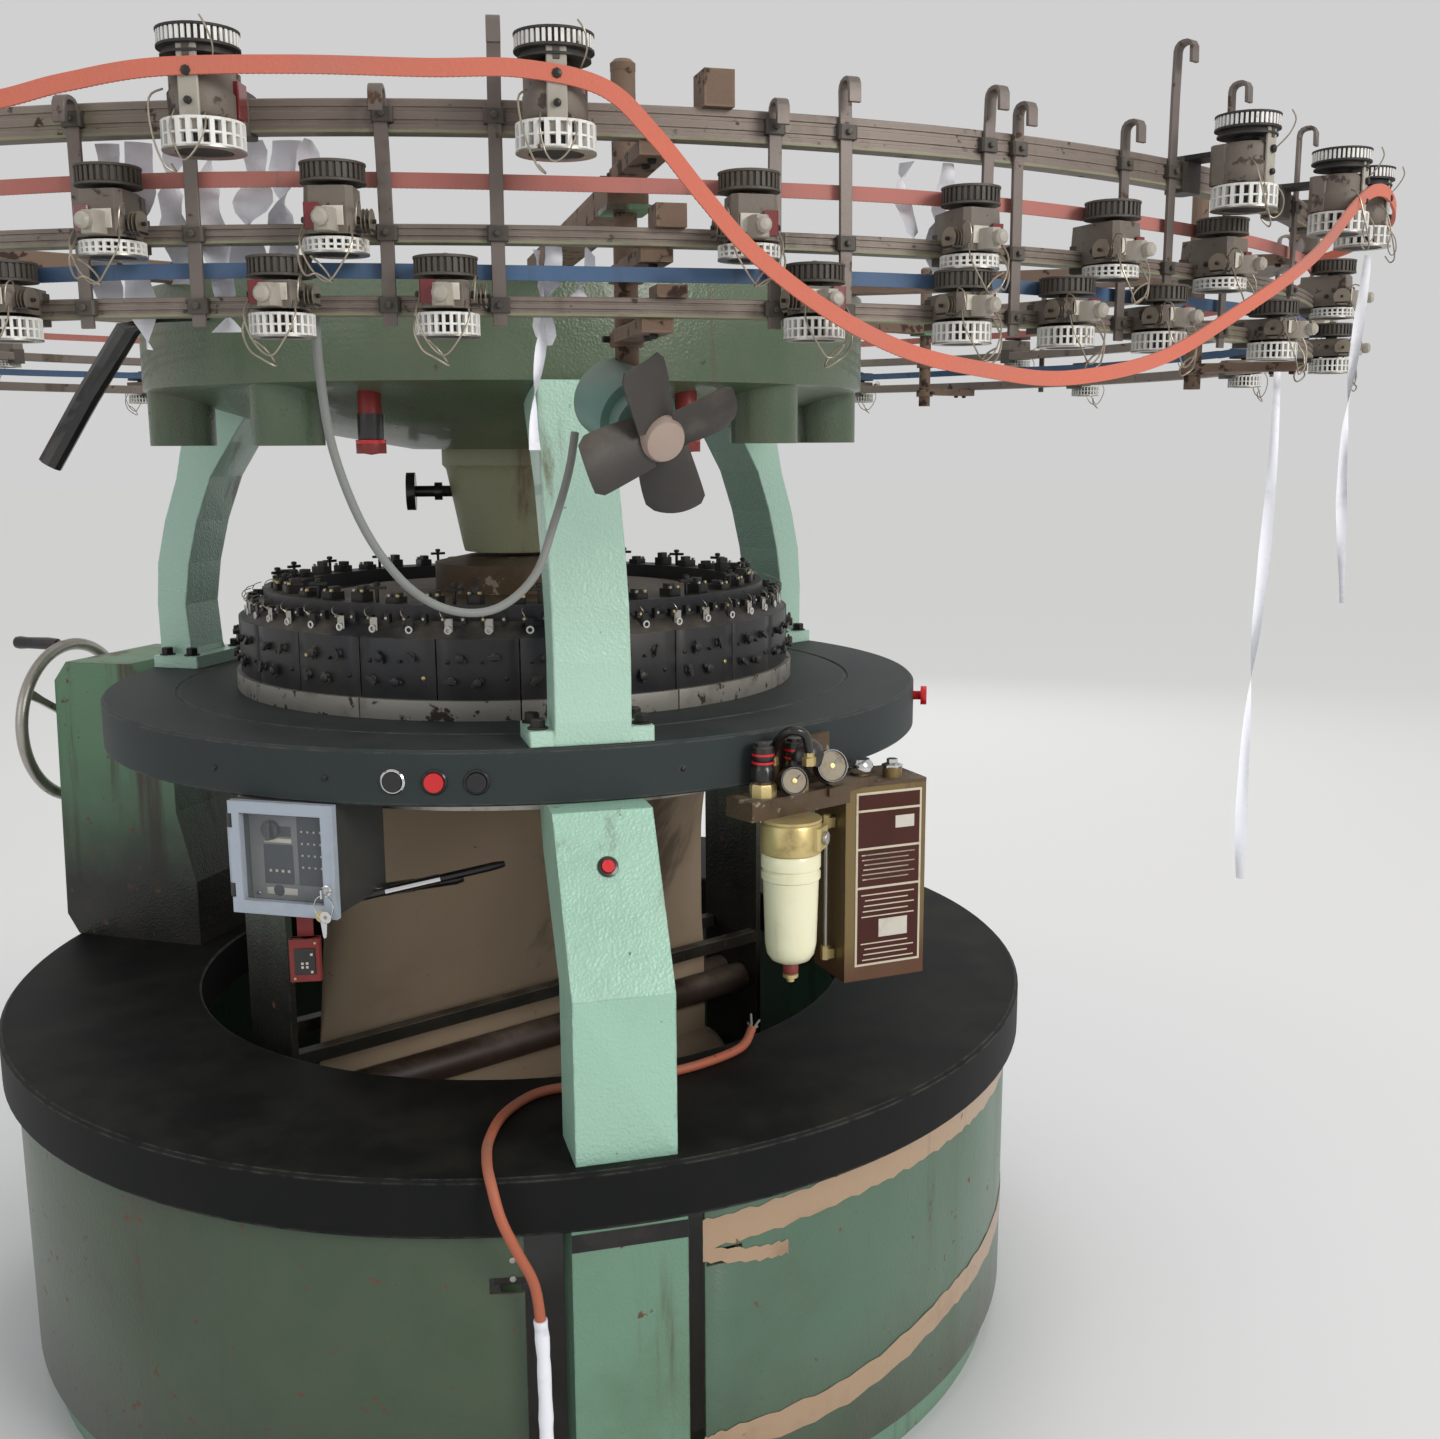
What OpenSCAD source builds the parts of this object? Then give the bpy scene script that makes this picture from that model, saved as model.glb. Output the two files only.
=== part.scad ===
// Circular knitting machine with a ring table, cam boxes, take-down and three yarn feeder rings.
// Origin on the floor on the machine axis, the operator's side towards -Y. Millimetres.

/* [Base drum] */
// Outer radius of the sheet drum round the take-down
drum_r = 915; // [800:1:1000]
// Thickness of the drum panels
drum_wall = 6; // [3:0.5:12]
// Height of the lower edge of the drum panels
drum_bottom = 62; // [40:1:120]
// Height of the floor frame under the drum
floor_frame_h = 60; // [40:1:100]
// Height where the drum panels end
drum_top = 540; // [400:1:540]
// Width of the posts between the drum panels
post_w = 165; // [100:1:220]

/* [Lower ring] */
// Outer radius of the lower ring
ring_r = 937; // [850:1:1000]
// Radius of the hole for the take-down
ring_hole_r = 604; // [590:1:650]
// Height of the top of the lower ring
ring_top = 631; // [600:1:680]
// Thickness of the lower ring
ring_t = 86; // [50:1:120]

/* [Table] */
// Outer radius of the table
table_r = 735; // [650:1:800]
// Height of the table top
table_top = 1180; // [1150:1:1210]
// Thickness of the table
table_t = 82; // [60:1:100]
// Radius of the bore for the needle cylinder
table_bore_r = 395; // [388:1:420]
// Radius of the shallow groove on the table top
groove_r = 611; // [560:1:640]

/* [Legs] */
// Direction of the front leg in degrees from +X
front_leg_az = -82; // [-90:1:-75]
// Width of a lower leg
low_leg_w = 144; // [100:1:180]
// Width of an upper leg
up_leg_w = 112; // [80:1:150]
// Width of an upper leg's foot with its bolt ears
up_foot_w = 182; // [140:1:220]

/* [Knitting head] */
// Outer radius of the needle cylinder, a 30 inch machine
cylinder_r = 381; // [370:1:383]
// Wall of the needle cylinder
cylinder_wall = 12; // [8:1:20]
// Outer radius of the cam boxes
cam_r = 500; // [480:1:520]
// Number of cam boxes
cam_count = 24; // [18:1:30]
// Height of a cam box
cam_h = 96; // [80:1:110]
// Radius of the dial
dial_r = 372; // [360:1:376]
// Number of blocks on the feeder ring round the dial
block_count = 40; // [30:1:48]

/* [Crown] */
// Outer radius of the crown casting
crown_r = 632; // [600:1:680]
// Height of the lower lip of the crown
crown_low = 1695; // [1680:1:1720]
// Height of the top of the crown
crown_high = 1850; // [1800:1:1880]

/* [Feeder rings] */
// Radius of the feeder rings at the middle of the tube
feeder_ring_r = 1350; // [1200:1:1450]
// Radial width of the ring tubes
ring_tube_w = 22; // [16:1:30]
// Bottom of the lower ring tube
low_ring_z = 1726; // [1710:1:1740]
// Bottom of the middle ring tube
mid_ring_z = 1792; // [1780:1:1810]
// Bottom of the upper ring tube
up_ring_z = 1890; // [1870:1:1910]
// Radius of the white feed wheels
feed_wheel_r = 30; // [24:1:34]
// Radius of the larger feed wheels of the upper ring
big_wheel_r = 36; // [30:1:40]
// Radius of the circle of the upper feed wheels
up_axis_r = 1430; // [1410:1:1460]
// Distance from the lower rings to the axes of their feed wheels
unit_reach = 35; // [25:1:50]
// Distance from the rings in to the carrier posts
post_inset = 165; // [120:1:220]
// Height where the door latches sit
latch_z = 462; // [300:1:480]

/* [Doors] */
// How far the left door is open
door_left_open = 0; // [0:1:95]
// Gap between the doors and the front post in degrees
door_gap = 2.6; // [1:0.1:5]

/* [Fits] */
// Running clearance of a shaft in its bore
run_gap = 0.08; // [0.02:0.01:0.1]
// Gap between pieces that pass each other
pass_gap = 0.6; // [0.3:0.1:2]

/* [Hidden] */
$fn = 96;
leg_az = [front_leg_az, front_leg_az + 120, front_leg_az + 240];
ring_low = ring_top - ring_t;
table_low = table_top - table_t;
drive_az = 156;
cam_z = table_top + 32;
cam_top = cam_z + cam_h;
dial_z = cam_top + 24;
gear_top = table_low - 12;
gear_low = table_low - 48;
crown_bottom = crown_low - 99;
housing_low = cam_top + 104;
takedown_az = 32;
plate_at = ring_hole_r - 84;
roller_z = 470;
roller_r = 30;
roller_off = 32;
roll_z = 285;
roll_r = 75;
cloth_half = plate_at - 80;
low_tube_h = 18;
mid_tube_h = 17;
up_tube_h = 30;
low_top = low_ring_z + low_tube_h;
mid_top = mid_ring_z + mid_tube_h;
up_top = up_ring_z + up_tube_h;
wheel_axis_r = feeder_ring_r + unit_reach;
up_reach = up_axis_r - feeder_ring_r;
belt_out_r = wheel_axis_r - feed_wheel_r;
low_belt_z = low_top + 16;
mid_belt_z = mid_top + 33;
low_az = [-109.9, -98.7, -92.4, -77.7, -70.7, -64.9, -58.5, -47, -28, -2, 22, 50, 78, 104, 130, 161, -176, -152, -130];
mid_az = [-105.2, -96.5, -80.5, -70.4, -62.2, -53.5, -32, -14, 10, 31, 62, 90, 116, 144, 170, -164, -141, -120];
up_az = [-122, 12, 70, 128, 176];
spin_az = [-100.6, -88.2, -55, -43.5, -37];
post_az = [-84, -24, 36, 96, 156, 216];
post_tube_r = 13;
post_r = feeder_ring_r - post_inset;
rod_list = [[-107, 1925], [-102.3, 1975], [-94.7, 1930], [-90.4, 1990], [-79.1, 1930], [-75.9, 1955],
            [-68.9, 1962], [-67.2, 1950], [-60.4, 1950], [-56.8, 2045], [-51.4, 2020], [-41.5, 2005],
            [-10, 1960], [27, 1990], [74.5, 1950], [110, 2000], [151, 1960], [-170, 1990], [-135, 1960]];
slack = [[-37, 31, 1925], [-43.5, 32, 1905], [-50, 26, 1816], [-56.5, 18, 1744], [-61.5, 10, 1692],
         [-66.9, 6, 1670], [-71.1, 6, 1677], [-74.8, 8, 1694], [-78.2, 12, 1730], [-81.1, 16, 1778],
         [-83, 20, 1825], [-84.8, 24, 1875], [-86.6, 30, 1912], [-89.4, 32, 1925], [-92.6, 32, 1924],
         [-97.1, 32, 1926], [-101.7, 32, 1925], [-105, 30, 1915], [-108.2, 30, 1902], [-113, 31, 1908],
         [-122, 32, 1925], [-133, 31, 1924], [-145, 31, 1927], [-158, 31, 1927], [-171, 31, 1924],
         [-184, 32, 1925], [-197, 31, 1924], [-210, 31, 1927], [-222, 31, 1924], [-232, 32, 1925],
         [-244, 31, 1924], [-256, 31, 1927], [-268, 31, 1927], [-280, 31, 1924], [-290, 32, 1925],
         [-302, 31, 1924], [-314, 31, 1926], [-326, 31, 1926], [-338, 31, 1924], [-348, 32, 1925],
         [-360, 31, 1924], [-372, 31, 1926], [-385, 31, 1928]];
hand_u = ring_r + 63;
hand_v = -20;
hand_z = table_low - 50;
fan_hub = [150, -post_r - 87, low_ring_z - 114];
fan_dir = [0.35, -0.87, -0.35];
fan_tilt = acos(fan_dir[2] / norm(fan_dir));
fan_turn = atan2(fan_dir[1], fan_dir[0]);
oil_az = -75;
oil_at = polar(-44.747, table_r + 67.57);
oil_top = table_low - 24;
tank_h = 322;
bowl_at = polar(-60.273, table_r + 59.57);
bowl_top = table_low - 42;
reg_r = table_r + 27;
reg_knob_r = 17;
reg_plate_t = reg_r - reg_knob_r - pass_gap - table_r + 15;
tank_neck_r = 13;
reg_z = table_low - 12;
box_az = -112;
box_at = polar(-117.897, table_r + 3.41);
box_w = 160;
box_h = 165;
box_d = 150;
box_z = table_low - box_h;
orange_d = 15;
orange_path = [[362, -508, 652], [335, -556, 640], [255, -614, 639], [170, -645, 639], [85, -660, 639],
               [10, -680, 639], [-40, -745, 639], [-62, -830, 640], [-64, -905, 643], [-58, -950, 632],
               [-46, -968, 590], [-26, -966, 540], [-4, -952, 480], [4, -948, 400], [6, -948, 310],
               [8, -948, 220], [24, -948, 160], [30, -948, 126]];
grey_d = 9;
grey_path = [[-184, -1326, 1726], [-184, -1322, 1680], [-176, -1308, 1600], [-150, -1290, 1520], [-112, -1270, 1462],
             [-68, -1250, 1434], [-22, -1230, 1434], [18, -1214, 1466], [40, -1202, 1520], [58, -1190, 1576],
             [66, -1183, 1618]];

function polar(a, r) = [r * cos(a), r * sin(a)];
function flat(list) = [for (part = list) for (item = part) item];
function spline(a, b, c, d, t) = 0.5 * (2 * b + (c - a) * t + (2 * a - 5 * b + 4 * c - d) * t * t
                                        + (3 * b - a - 3 * c + d) * t * t * t);
function smooth(p, n) = concat([for (i = [0 : len(p) - 2]) for (k = [0 : n - 1])
                        spline(p[max(i - 1, 0)], p[i], p[i + 1], p[min(i + 2, len(p) - 1)], k / n)], [p[len(p) - 1]]);
function unit(v) = v / norm(v);
function side_of(t) = unit(cross(t, abs(t[2]) > 0.8 ? [0, 1, 0] : [0, 0, 1]));

module tube_along(path, d, n)
{
    rings = len(path);
    pts = flat([for (i = [0 : rings - 1])
        let (t = unit(path[min(i + 1, rings - 1)] - path[max(i - 1, 0)]), s = unit(cross(t, [0.31, 0.17, 0.11])), u = cross(t, s))
        [for (k = [0 : n - 1]) path[i] + d / 2 * (cos(360 * k / n) * s + sin(360 * k / n) * u)]]);
    sides = flat([for (i = [0 : rings - 2]) [for (k = [0 : n - 1])
        [i * n + k, i * n + (k + 1) % n, (i + 1) * n + (k + 1) % n, (i + 1) * n + k]]]);
    caps = [[for (k = [n - 1 : -1 : 0]) k], [for (k = [0 : n - 1]) (rings - 1) * n + k]];
    polyhedron(points = pts, faces = concat(sides, caps), convexity = 6);
}

module ribbon_loop(list, w, t)
{
    n = len(list);
    pts = flat([for (i = [0 : n - 1])
        let (a = list[i][0], r = up_axis_r + list[i][1], z = list[i][2])
        [[(r - t / 2) * cos(a), (r - t / 2) * sin(a), z - w / 2], [(r + t / 2) * cos(a), (r + t / 2) * sin(a), z - w / 2],
         [(r + t / 2) * cos(a), (r + t / 2) * sin(a), z + w / 2], [(r - t / 2) * cos(a), (r - t / 2) * sin(a), z + w / 2]]]);
    quads = flat([for (i = [0 : n - 1]) [for (k = [0 : 3])
        [i * 4 + k, ((i + 1) % n) * 4 + k, ((i + 1) % n) * 4 + (k + 1) % 4, i * 4 + (k + 1) % 4]]]);
    polyhedron(points = pts, faces = quads, convexity = 10);
}

module ring_wall(ro, ri, z0, z1)
{
    translate([0, 0, z0])
        difference() {
            cylinder(r = ro, h = z1 - z0);
            translate([0, 0, -1]) cylinder(r = ri, h = z1 - z0 + 2);
        }
}

module arc_wall(ro, ri, z0, z1, a0, a1)
{
    translate([0, 0, z0])
        rotate([0, 0, a0])
            rotate_extrude(angle = a1 - a0)
                translate([ri, 0]) square([ro - ri, z1 - z0]);
}

module at_az(a, r, z)
{
    rotate([0, 0, a]) translate([r, 0, z]) children();
}

module out_x(r, h)
{
    rotate([0, 90, 0]) cylinder(r = r, h = h);
}

// base and drum
module floor_frame()
{
    color([0.30, 0.36, 0.28]) {
        ring_wall(drum_r - 20, drum_r - 175, 0, floor_frame_h);
        for (a = leg_az)
            at_az(a, 0, 24)
                translate([drum_r - 60, -post_w / 2, 0]) cube([74, post_w, ring_low - 24]);
        translate([8, -drum_r - 41, floor_frame_h + 6]) cube([44, 28.6, 58.5]);
        hinge_pins(left_a0, -1);
        hinge_pins(right_a1, 1);
    }
}

module door_panel(a0, a1, notch)
{
    difference() {
        union() {
            arc_wall(drum_r, drum_r - drum_wall, drum_bottom, drum_top, a0, a1);
            arc_wall(drum_r - drum_wall, drum_r - 30, drum_bottom + 4, drum_bottom + 10, a0 + 1, a1 - 1);
            arc_wall(drum_r - drum_wall, drum_r - 30, drum_top - 14, drum_top - 8, a0 + 1, a1 - 1);
        }
        at_az(notch, drum_r, latch_z) cube([60, 56, 24], center = true);
    }
    difference() {
        union() {
            at_az(notch, drum_r - 24, latch_z - 22) translate([0, -14, 0]) cube([5, 28, 66]);
            at_az(notch, drum_r - 24, latch_z + 24) translate([0, -14, 0]) cube([19, 28, 20]);
        }
        at_az(notch, drum_r - 25, latch_z) out_x(5 + run_gap, 8);
    }
}

module knuckles(a, side)
{
    for (z = [150, 430])
        difference() {
            union() {
                at_az(a, drum_r + 12, z) cylinder(r = 9, h = 60);
                at_az(a, drum_r - 4, z) translate([0, side > 0 ? 0 : -44, 0]) cube([10, 44, 60]);
            }
            at_az(a, drum_r + 12, z - 1) cylinder(r = 5 + run_gap, h = 62);
        }
}

module hinge_pins(a, side)
{
    for (z = [150, 430]) {
        at_az(a, drum_r + 12, z - 14) cylinder(r = 5, h = 88);
        for (dz = [-14, 60 + pass_gap])
            at_az(a, drum_r + 12, z + dz) cylinder(r = 9, h = 14 - pass_gap);
        for (dz = [-14, 60 + pass_gap])
            at_az(a, drum_r + 5, z + dz) translate([0, side > 0 ? 0 : -40, 0]) cube([9.5, 40, 14 - pass_gap]);
    }
}

left_a0 = leg_az[2] + 6.6 - 360;
left_a1 = front_leg_az - 6.5 - door_gap;
right_a0 = front_leg_az + 4.4 + door_gap;
right_a1 = leg_az[1] - 6.6;
notch_left = left_a1 - 1.3;
notch_right = right_a0 + 1.9;

module drum_back()
{
    color([0.33, 0.50, 0.33]) {
        arc_wall(drum_r, drum_r - drum_wall, floor_frame_h, drum_top, leg_az[1] + 6.2, leg_az[2] - 6.2);
        arc_wall(drum_r - drum_wall, drum_r - 60, floor_frame_h, floor_frame_h + 12, leg_az[1] + 7, leg_az[2] - 7);
    }
}

module door_left()
{
    color([0.33, 0.52, 0.34]) {
        door_panel(left_a0, left_a1, notch_left);
        knuckles(left_a0, 1);
    }
}

module door_right()
{
    color([0.33, 0.52, 0.34]) {
        door_panel(right_a0, right_a1, notch_right);
        knuckles(right_a1, -1);
    }
}

module latch(a)
{
    at_az(a, drum_r - 30, latch_z) {
        out_x(5, 18);
        out_x(9, 6 - pass_gap);
        translate([11 + pass_gap, -22, -5]) cube([6, 44, 10]);
    }
}

module latch_left()
{
    color([0.12, 0.12, 0.12]) latch(notch_left);
}

module latch_right()
{
    color([0.12, 0.12, 0.12]) latch(notch_right);
}

module lower_ring()
{
    color([0.10, 0.11, 0.11])
        difference() {
            rotate_extrude()
                polygon([[ring_hole_r, ring_low], [ring_r - 3, ring_low], [ring_r, ring_low + 3], [ring_r, ring_top - 5],
                         [ring_r - 5, ring_top], [ring_hole_r + 3, ring_top], [ring_hole_r, ring_top - 3]]);
        }
}

// legs and drive
leg_knee = [ring_r - 23, ring_top + 236];
leg_top = [table_r + 51, table_low];
leg_lean = leg_knee - leg_top;

module low_leg_shape()
{
    rotate([90, 0, 0])
        translate([0, 0, -low_leg_w / 2])
            linear_extrude(height = low_leg_w)
                polygon([[ring_r - 125, ring_top], [ring_r - 23, ring_top], leg_knee, leg_top, [table_r - 63, table_low],
                         [table_r - 35, table_low - 78], [ring_r - 125, ring_top + 229]]);
}

module lower_legs()
{
    color([0.45, 0.62, 0.45])
        for (a = [leg_az[0], leg_az[1]])
            difference() {
                at_az(a, 0, 0) low_leg_shape();
                if (a == front_leg_az)
                    leg_button_place() translate([0, 0, -14]) cylinder(r = 9 + pass_gap, h = 40);
            }
}

module leg_button_place()
{
    at_az(front_leg_az, leg_top[0] + 0.309 * leg_lean[0] - 1, leg_top[1] + 0.309 * leg_lean[1])
        translate([0, -2, 0])
            rotate([0, atan2(-leg_lean[1], leg_lean[0]), 0]) children();
}

module leg_button()
{
    color([0.75, 0.05, 0.06])
        leg_button_place() translate([0, 0, -6]) cylinder(r = 9, h = 12);
}

module drive_housing()
{
    color([0.36, 0.50, 0.36])
        difference() {
            at_az(drive_az, 0, 0)
                rotate([90, 0, 0])
                    translate([0, 0, -140])
                        linear_extrude(height = 280)
                            polygon([[ring_hole_r + 36, ring_top], [ring_r - 12, ring_top], [ring_r + 13, ring_top + 40],
                                     [ring_r - 2, table_top - 30], [ring_r - 32, table_top + 8], [table_r + 27, table_top + 8],
                                     [table_r + 13, table_top - 12], [table_r + 9, table_low], [table_r - 59, table_low],
                                     [table_r - 59, table_low - 198], [ring_hole_r + 36, ring_top + 129]]);
            hand_place() translate([0, 0, -70]) cylinder(r = 14 + run_gap, h = 120);
            hand_place() translate([0, 0, -70 - 40]) cylinder(r = 20, h = 41);
            ring_wall(table_r + 8, table_r - 60, table_low, table_top + 40);
        }
}

module hand_place()
{
    at_az(drive_az, 0, 0) translate([hand_u - 16, -hand_v, hand_z]) rotate([0, 90, 0]) children();
}

module handwheel()
{
    color([0.55, 0.56, 0.56])
        hand_place() {
            translate([0, 0, -66]) cylinder(r = 14, h = 72);
            translate([0, 0, -29]) cylinder(r = 26, h = 45);
            for (a = [0, 120, 240])
                rotate([0, 0, a]) translate([20, -9, 2]) cube([130, 18, 10]);
            rotate_extrude() translate([156, 7]) circle(r = 12, $fn = 10);
            translate([-156, 0, 12]) cylinder(r = 6, h = 20);
            translate([-156, 0, 30]) cylinder(r = 12, h = 110, $fn = 12);
        }
}

// table and its buttons
button_az = [-104.5, -99.8, -95.1];
button_z = table_top - 45.5;
module table()
{
    color([0.10, 0.11, 0.11])
        difference() {
            rotate_extrude()
                polygon([[table_bore_r, table_low], [table_r - 3, table_low], [table_r, table_low + 3], [table_r, table_top - 4],
                         [table_r - 4, table_top], [groove_r + 4, table_top], [groove_r + 2, table_top - 3],
                         [groove_r - 2, table_top - 3], [groove_r - 4, table_top], [table_bore_r, table_top]]);
            for (a = button_az)
                at_az(a, table_r - 22, button_z) out_x(14 + pass_gap, 40);
            at_az(-15, table_r - 24, table_top - 30) out_x(8 + run_gap, 40);
            at_az(-71.6, table_r - 4, button_z + 1.5) out_x(4, 10);
        }
}

module push_button(a)
{
    at_az(a, table_r - 16, button_z) {
        out_x(14, 22);
    }
}

module button_start()
{
    color([0.08, 0.08, 0.08]) push_button(button_az[0]);
}

module button_stop()
{
    color([0.80, 0.06, 0.06]) push_button(button_az[1]);
}

module button_jog()
{
    color([0.08, 0.08, 0.08]) push_button(button_az[2]);
}

module stop_mushroom()
{
    color([0.78, 0.05, 0.06])
        at_az(-15, table_r, table_top - 30) {
            translate([-16, 0, 0]) out_x(8, 30);
            translate([13, 0, 0]) out_x(17, 11);
        }
}

// knitting head
module cam_base()
{
    color([0.62, 0.62, 0.58])
        for (i = [0 : 11])
            arc_wall(cam_r + 8, table_bore_r + 1, table_top, cam_z, i * 30 + 0.12, (i + 1) * 30 - 0.12);
}

module cam_boxes()
{
    color([0.07, 0.07, 0.07])
        for (i = [0 : cam_count - 1])
            arc_wall(cam_r, cylinder_r + 4, cam_z, cam_top, i * 360 / cam_count + 0.12, (i + 1) * 360 / cam_count - 0.12);
}

module cam_knobs()
{
    color([0.10, 0.10, 0.10]) {
        for (i = [0 : cam_count - 1]) {
            at_az((i + 0.3) * 360 / cam_count, cam_r, cam_z + 30) rotate([0, 90, 0]) cylinder(r = 9, h = 12, $fn = 8);
            at_az((i + 0.7) * 360 / cam_count, cam_r, cam_z + 66) rotate([0, 90, 0]) cylinder(r = 9, h = 12, $fn = 8);
        }
        for (i = [0 : block_count - 1]) {
            at_az(i * 360 / block_count, cylinder_r + 27, dial_z + 24) translate([0, -19, 0]) cube([44, 38, 26 + 6 * (i % 3)]);
            if (i % 2 == 0)
                at_az((i + 0.5) * 360 / block_count, cylinder_r + 49, dial_z + 24) cylinder(r = 7, h = 46, $fn = 6);
        }
    }
}

module dial_ring()
{
    color([0.30, 0.27, 0.22])
        rotate_extrude()
            polygon([[cylinder_r + 9, cam_top], [cam_r - 4, cam_top], [cam_r - 26, dial_z - 6], [cam_r - 30, dial_z],
                     [cam_r - 45, dial_z], [cam_r - 45, dial_z + 24], [cylinder_r + 21, dial_z + 24],
                     [cylinder_r + 21, dial_z - 2], [cylinder_r + 9, dial_z - 8]]);
}

module needle_cylinder()
{
    color([0.55, 0.54, 0.50]) {
        ring_wall(cylinder_r, cylinder_r - cylinder_wall, gear_top, cam_top + 8);
        ring_wall(cylinder_r + 179, cylinder_r - cylinder_wall, gear_low, gear_top);
        ring_wall(table_bore_r + 45, table_bore_r + 25, gear_top, table_low);
    }
}

module dial_disc()
{
    color([0.58, 0.50, 0.38])
        rotate_extrude()
            polygon([[0, cam_top + 12], [dial_r, cam_top + 12], [dial_r, cam_top + 22], [dial_r - 42, cam_top + 30],
                     [150, cam_top + 34], [150, housing_low - 20], [90, housing_low - 8], [30, housing_low - 8],
                     [30, housing_low + 38], [0, housing_low + 38]]);
}

// take-down
module on_takedown()
{
    rotate([0, 0, takedown_az]) children();
}

module takedown_frame()
{
    color([0.20, 0.34, 0.22])
        on_takedown()
            difference() {
                union() {
                    for (s = [-1, 1]) {
                        translate([s * plate_at - 6, -85, 150]) cube([12, 170, gear_low - 150]);
                        translate([s * plate_at - 20, -85, gear_low - 12]) cube([40, 170, 12]);
                    }
                    translate([-plate_at + 6, -40, 160]) cube([2 * plate_at - 12, 80, 12]);
                    for (s = [-1, 1])
                        translate([-plate_at + 6, s * 70 - 12, 560]) cube([2 * plate_at - 12, 24, 24]);
                }
                for (s = [-1, 1])
                    translate([-plate_at - 8, s * roller_off, roller_z]) out_x(11 + run_gap, 2 * plate_at + 16);
                translate([-plate_at - 8, 0, roll_z]) out_x(12 + run_gap, 2 * plate_at + 16);
            }
}

module nip_roller(s)
{
    on_takedown() {
        translate([-plate_at + 6 + pass_gap, s * roller_off, roller_z]) out_x(roller_r, 2 * plate_at - 12 - 2 * pass_gap);
        translate([-plate_at - 12, s * roller_off, roller_z]) out_x(11, 2 * plate_at + 24);
    }
}

module roller_front()
{
    color([0.22, 0.14, 0.11]) nip_roller(-1);
}

module roller_rear()
{
    color([0.22, 0.14, 0.11]) nip_roller(1);
}

module cloth_roll()
{
    color([0.72, 0.62, 0.50])
        on_takedown() {
            translate([-cloth_half - 10, 0, roll_z]) out_x(roll_r, 2 * cloth_half + 20);
            translate([-plate_at - 12, 0, roll_z]) out_x(12, 2 * plate_at + 24);
        }
}

module cloth_tube()
{
    top_z = gear_low - 2;
    color([0.68, 0.58, 0.46]) {
        ring_wall(cylinder_r - cylinder_wall, cylinder_r - cylinder_wall - 3, top_z, cam_top + 6);
        difference() {
            hull() {
                translate([0, 0, top_z - 1]) cylinder(r = cylinder_r - cylinder_wall, h = 2, $fn = 40);
                on_takedown() translate([-cloth_half, -3, roller_z + 66]) cube([2 * cloth_half, 6, 6.6]);
            }
            hull() {
                translate([0, 0, top_z]) cylinder(r = cylinder_r - cylinder_wall - 3, h = 4, $fn = 40);
                on_takedown() translate([4 - cloth_half, -1, roller_z + 82]) cube([2 * cloth_half - 8, 2, 2]);
            }
        }
        on_takedown() translate([-cloth_half, -1.5, roll_z + roll_r + pass_gap]) cube([2 * cloth_half, 3, 182]);
    }
}

// upper frame
leg_rise = crown_low + 25 - table_top;
leg_outer = [[0, -11], [0.065, 1.7], [0.222, 18.9], [0.37, 27.1], [0.519, 21.4], [0.667, 5.7], [0.787, 2.1], [0.87, 4.6], [1, 14]];
leg_inner = [[1, -146], [0.87, -125.4], [0.796, -103], [0.676, -69.4], [0.519, -49.6], [0.37, -41.9], [0.222, -44.1],
             [0.065, -66.3], [0, -85]];
function leg_points(rows) = [for (q = rows) [table_r * (1 - q[0]) + crown_r * q[0] + q[1], table_top + leg_rise * q[0]]];

module up_leg()
{
    rotate([90, 0, 0]) {
        translate([0, 0, -up_leg_w / 2])
            linear_extrude(height = up_leg_w)
                polygon(concat(leg_points(leg_outer), leg_points(leg_inner)));
        translate([0, 0, -up_foot_w / 2])
            linear_extrude(height = up_foot_w)
                polygon([[table_r - 107, table_top], [table_r - 11, table_top], [table_r - 11, table_top + 24],
                         [table_r - 107, table_top + 24]]);
    }
}

module upper_legs()
{
    color([0.40, 0.56, 0.40])
        for (a = leg_az)
            at_az(a, 0, 0) {
                difference() {
                    up_leg();
                    crown_space();
                }
                for (s = [-1, 1])
                    for (r = [table_r - 87, table_r - 33])
                        translate([r, s * (up_foot_w / 2 - 15), table_top + 24]) cylinder(r = 11, h = 14, $fn = 6);
            }
}

crown_dish = [[0, crown_bottom], [180, crown_bottom], [crown_r - 202, crown_low - 55], [crown_r - 72, crown_low - 15],
              [crown_r, crown_low]];

module crown_space()
{
    rotate_extrude()
        polygon(concat(crown_dish, [[crown_r + 80, crown_low], [crown_r + 80, crown_high + 50], [0, crown_high + 50]]));
}

module crown()
{
    color([0.30, 0.45, 0.30]) {
        rotate_extrude()
            polygon(concat(crown_dish, [[crown_r, crown_high], [150, crown_high], [150, crown_high - 12],
                                        [crown_r - 16, crown_high - 12], [crown_r - 16, crown_low + 14],
                                        [crown_r - 77, crown_low - 1], [crown_r - 206, crown_low - 41],
                                        [178, crown_bottom + 14], [0, crown_bottom + 14]]));
        for (a = leg_az)
            for (d = [-44, 36])
                at_az(a + d, crown_r - 60, crown_bottom + 8)
                    difference() {
                        cylinder(r = 54, h = 110);
                        translate([0, 0, -1]) cylinder(r = 44, h = 60);
                    }
    }
}

knob_z = crown_bottom - 76;

module dial_housing()
{
    color([0.55, 0.60, 0.46])
        difference() {
            rotate_extrude()
                polygon([[0, housing_low], [95, housing_low], [98, housing_low + 12], [124, crown_bottom - 36], [131, crown_bottom - 28],
                         [131, crown_bottom], [0, crown_bottom]]);
            translate([-160, 0, knob_z]) out_x(10 + run_gap, 110);
            translate([-90, 0, knob_z]) out_x(17, 40);
            translate([0, 0, housing_low - 2]) cylinder(r = 30 + run_gap, h = 42);
        }
}

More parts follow.
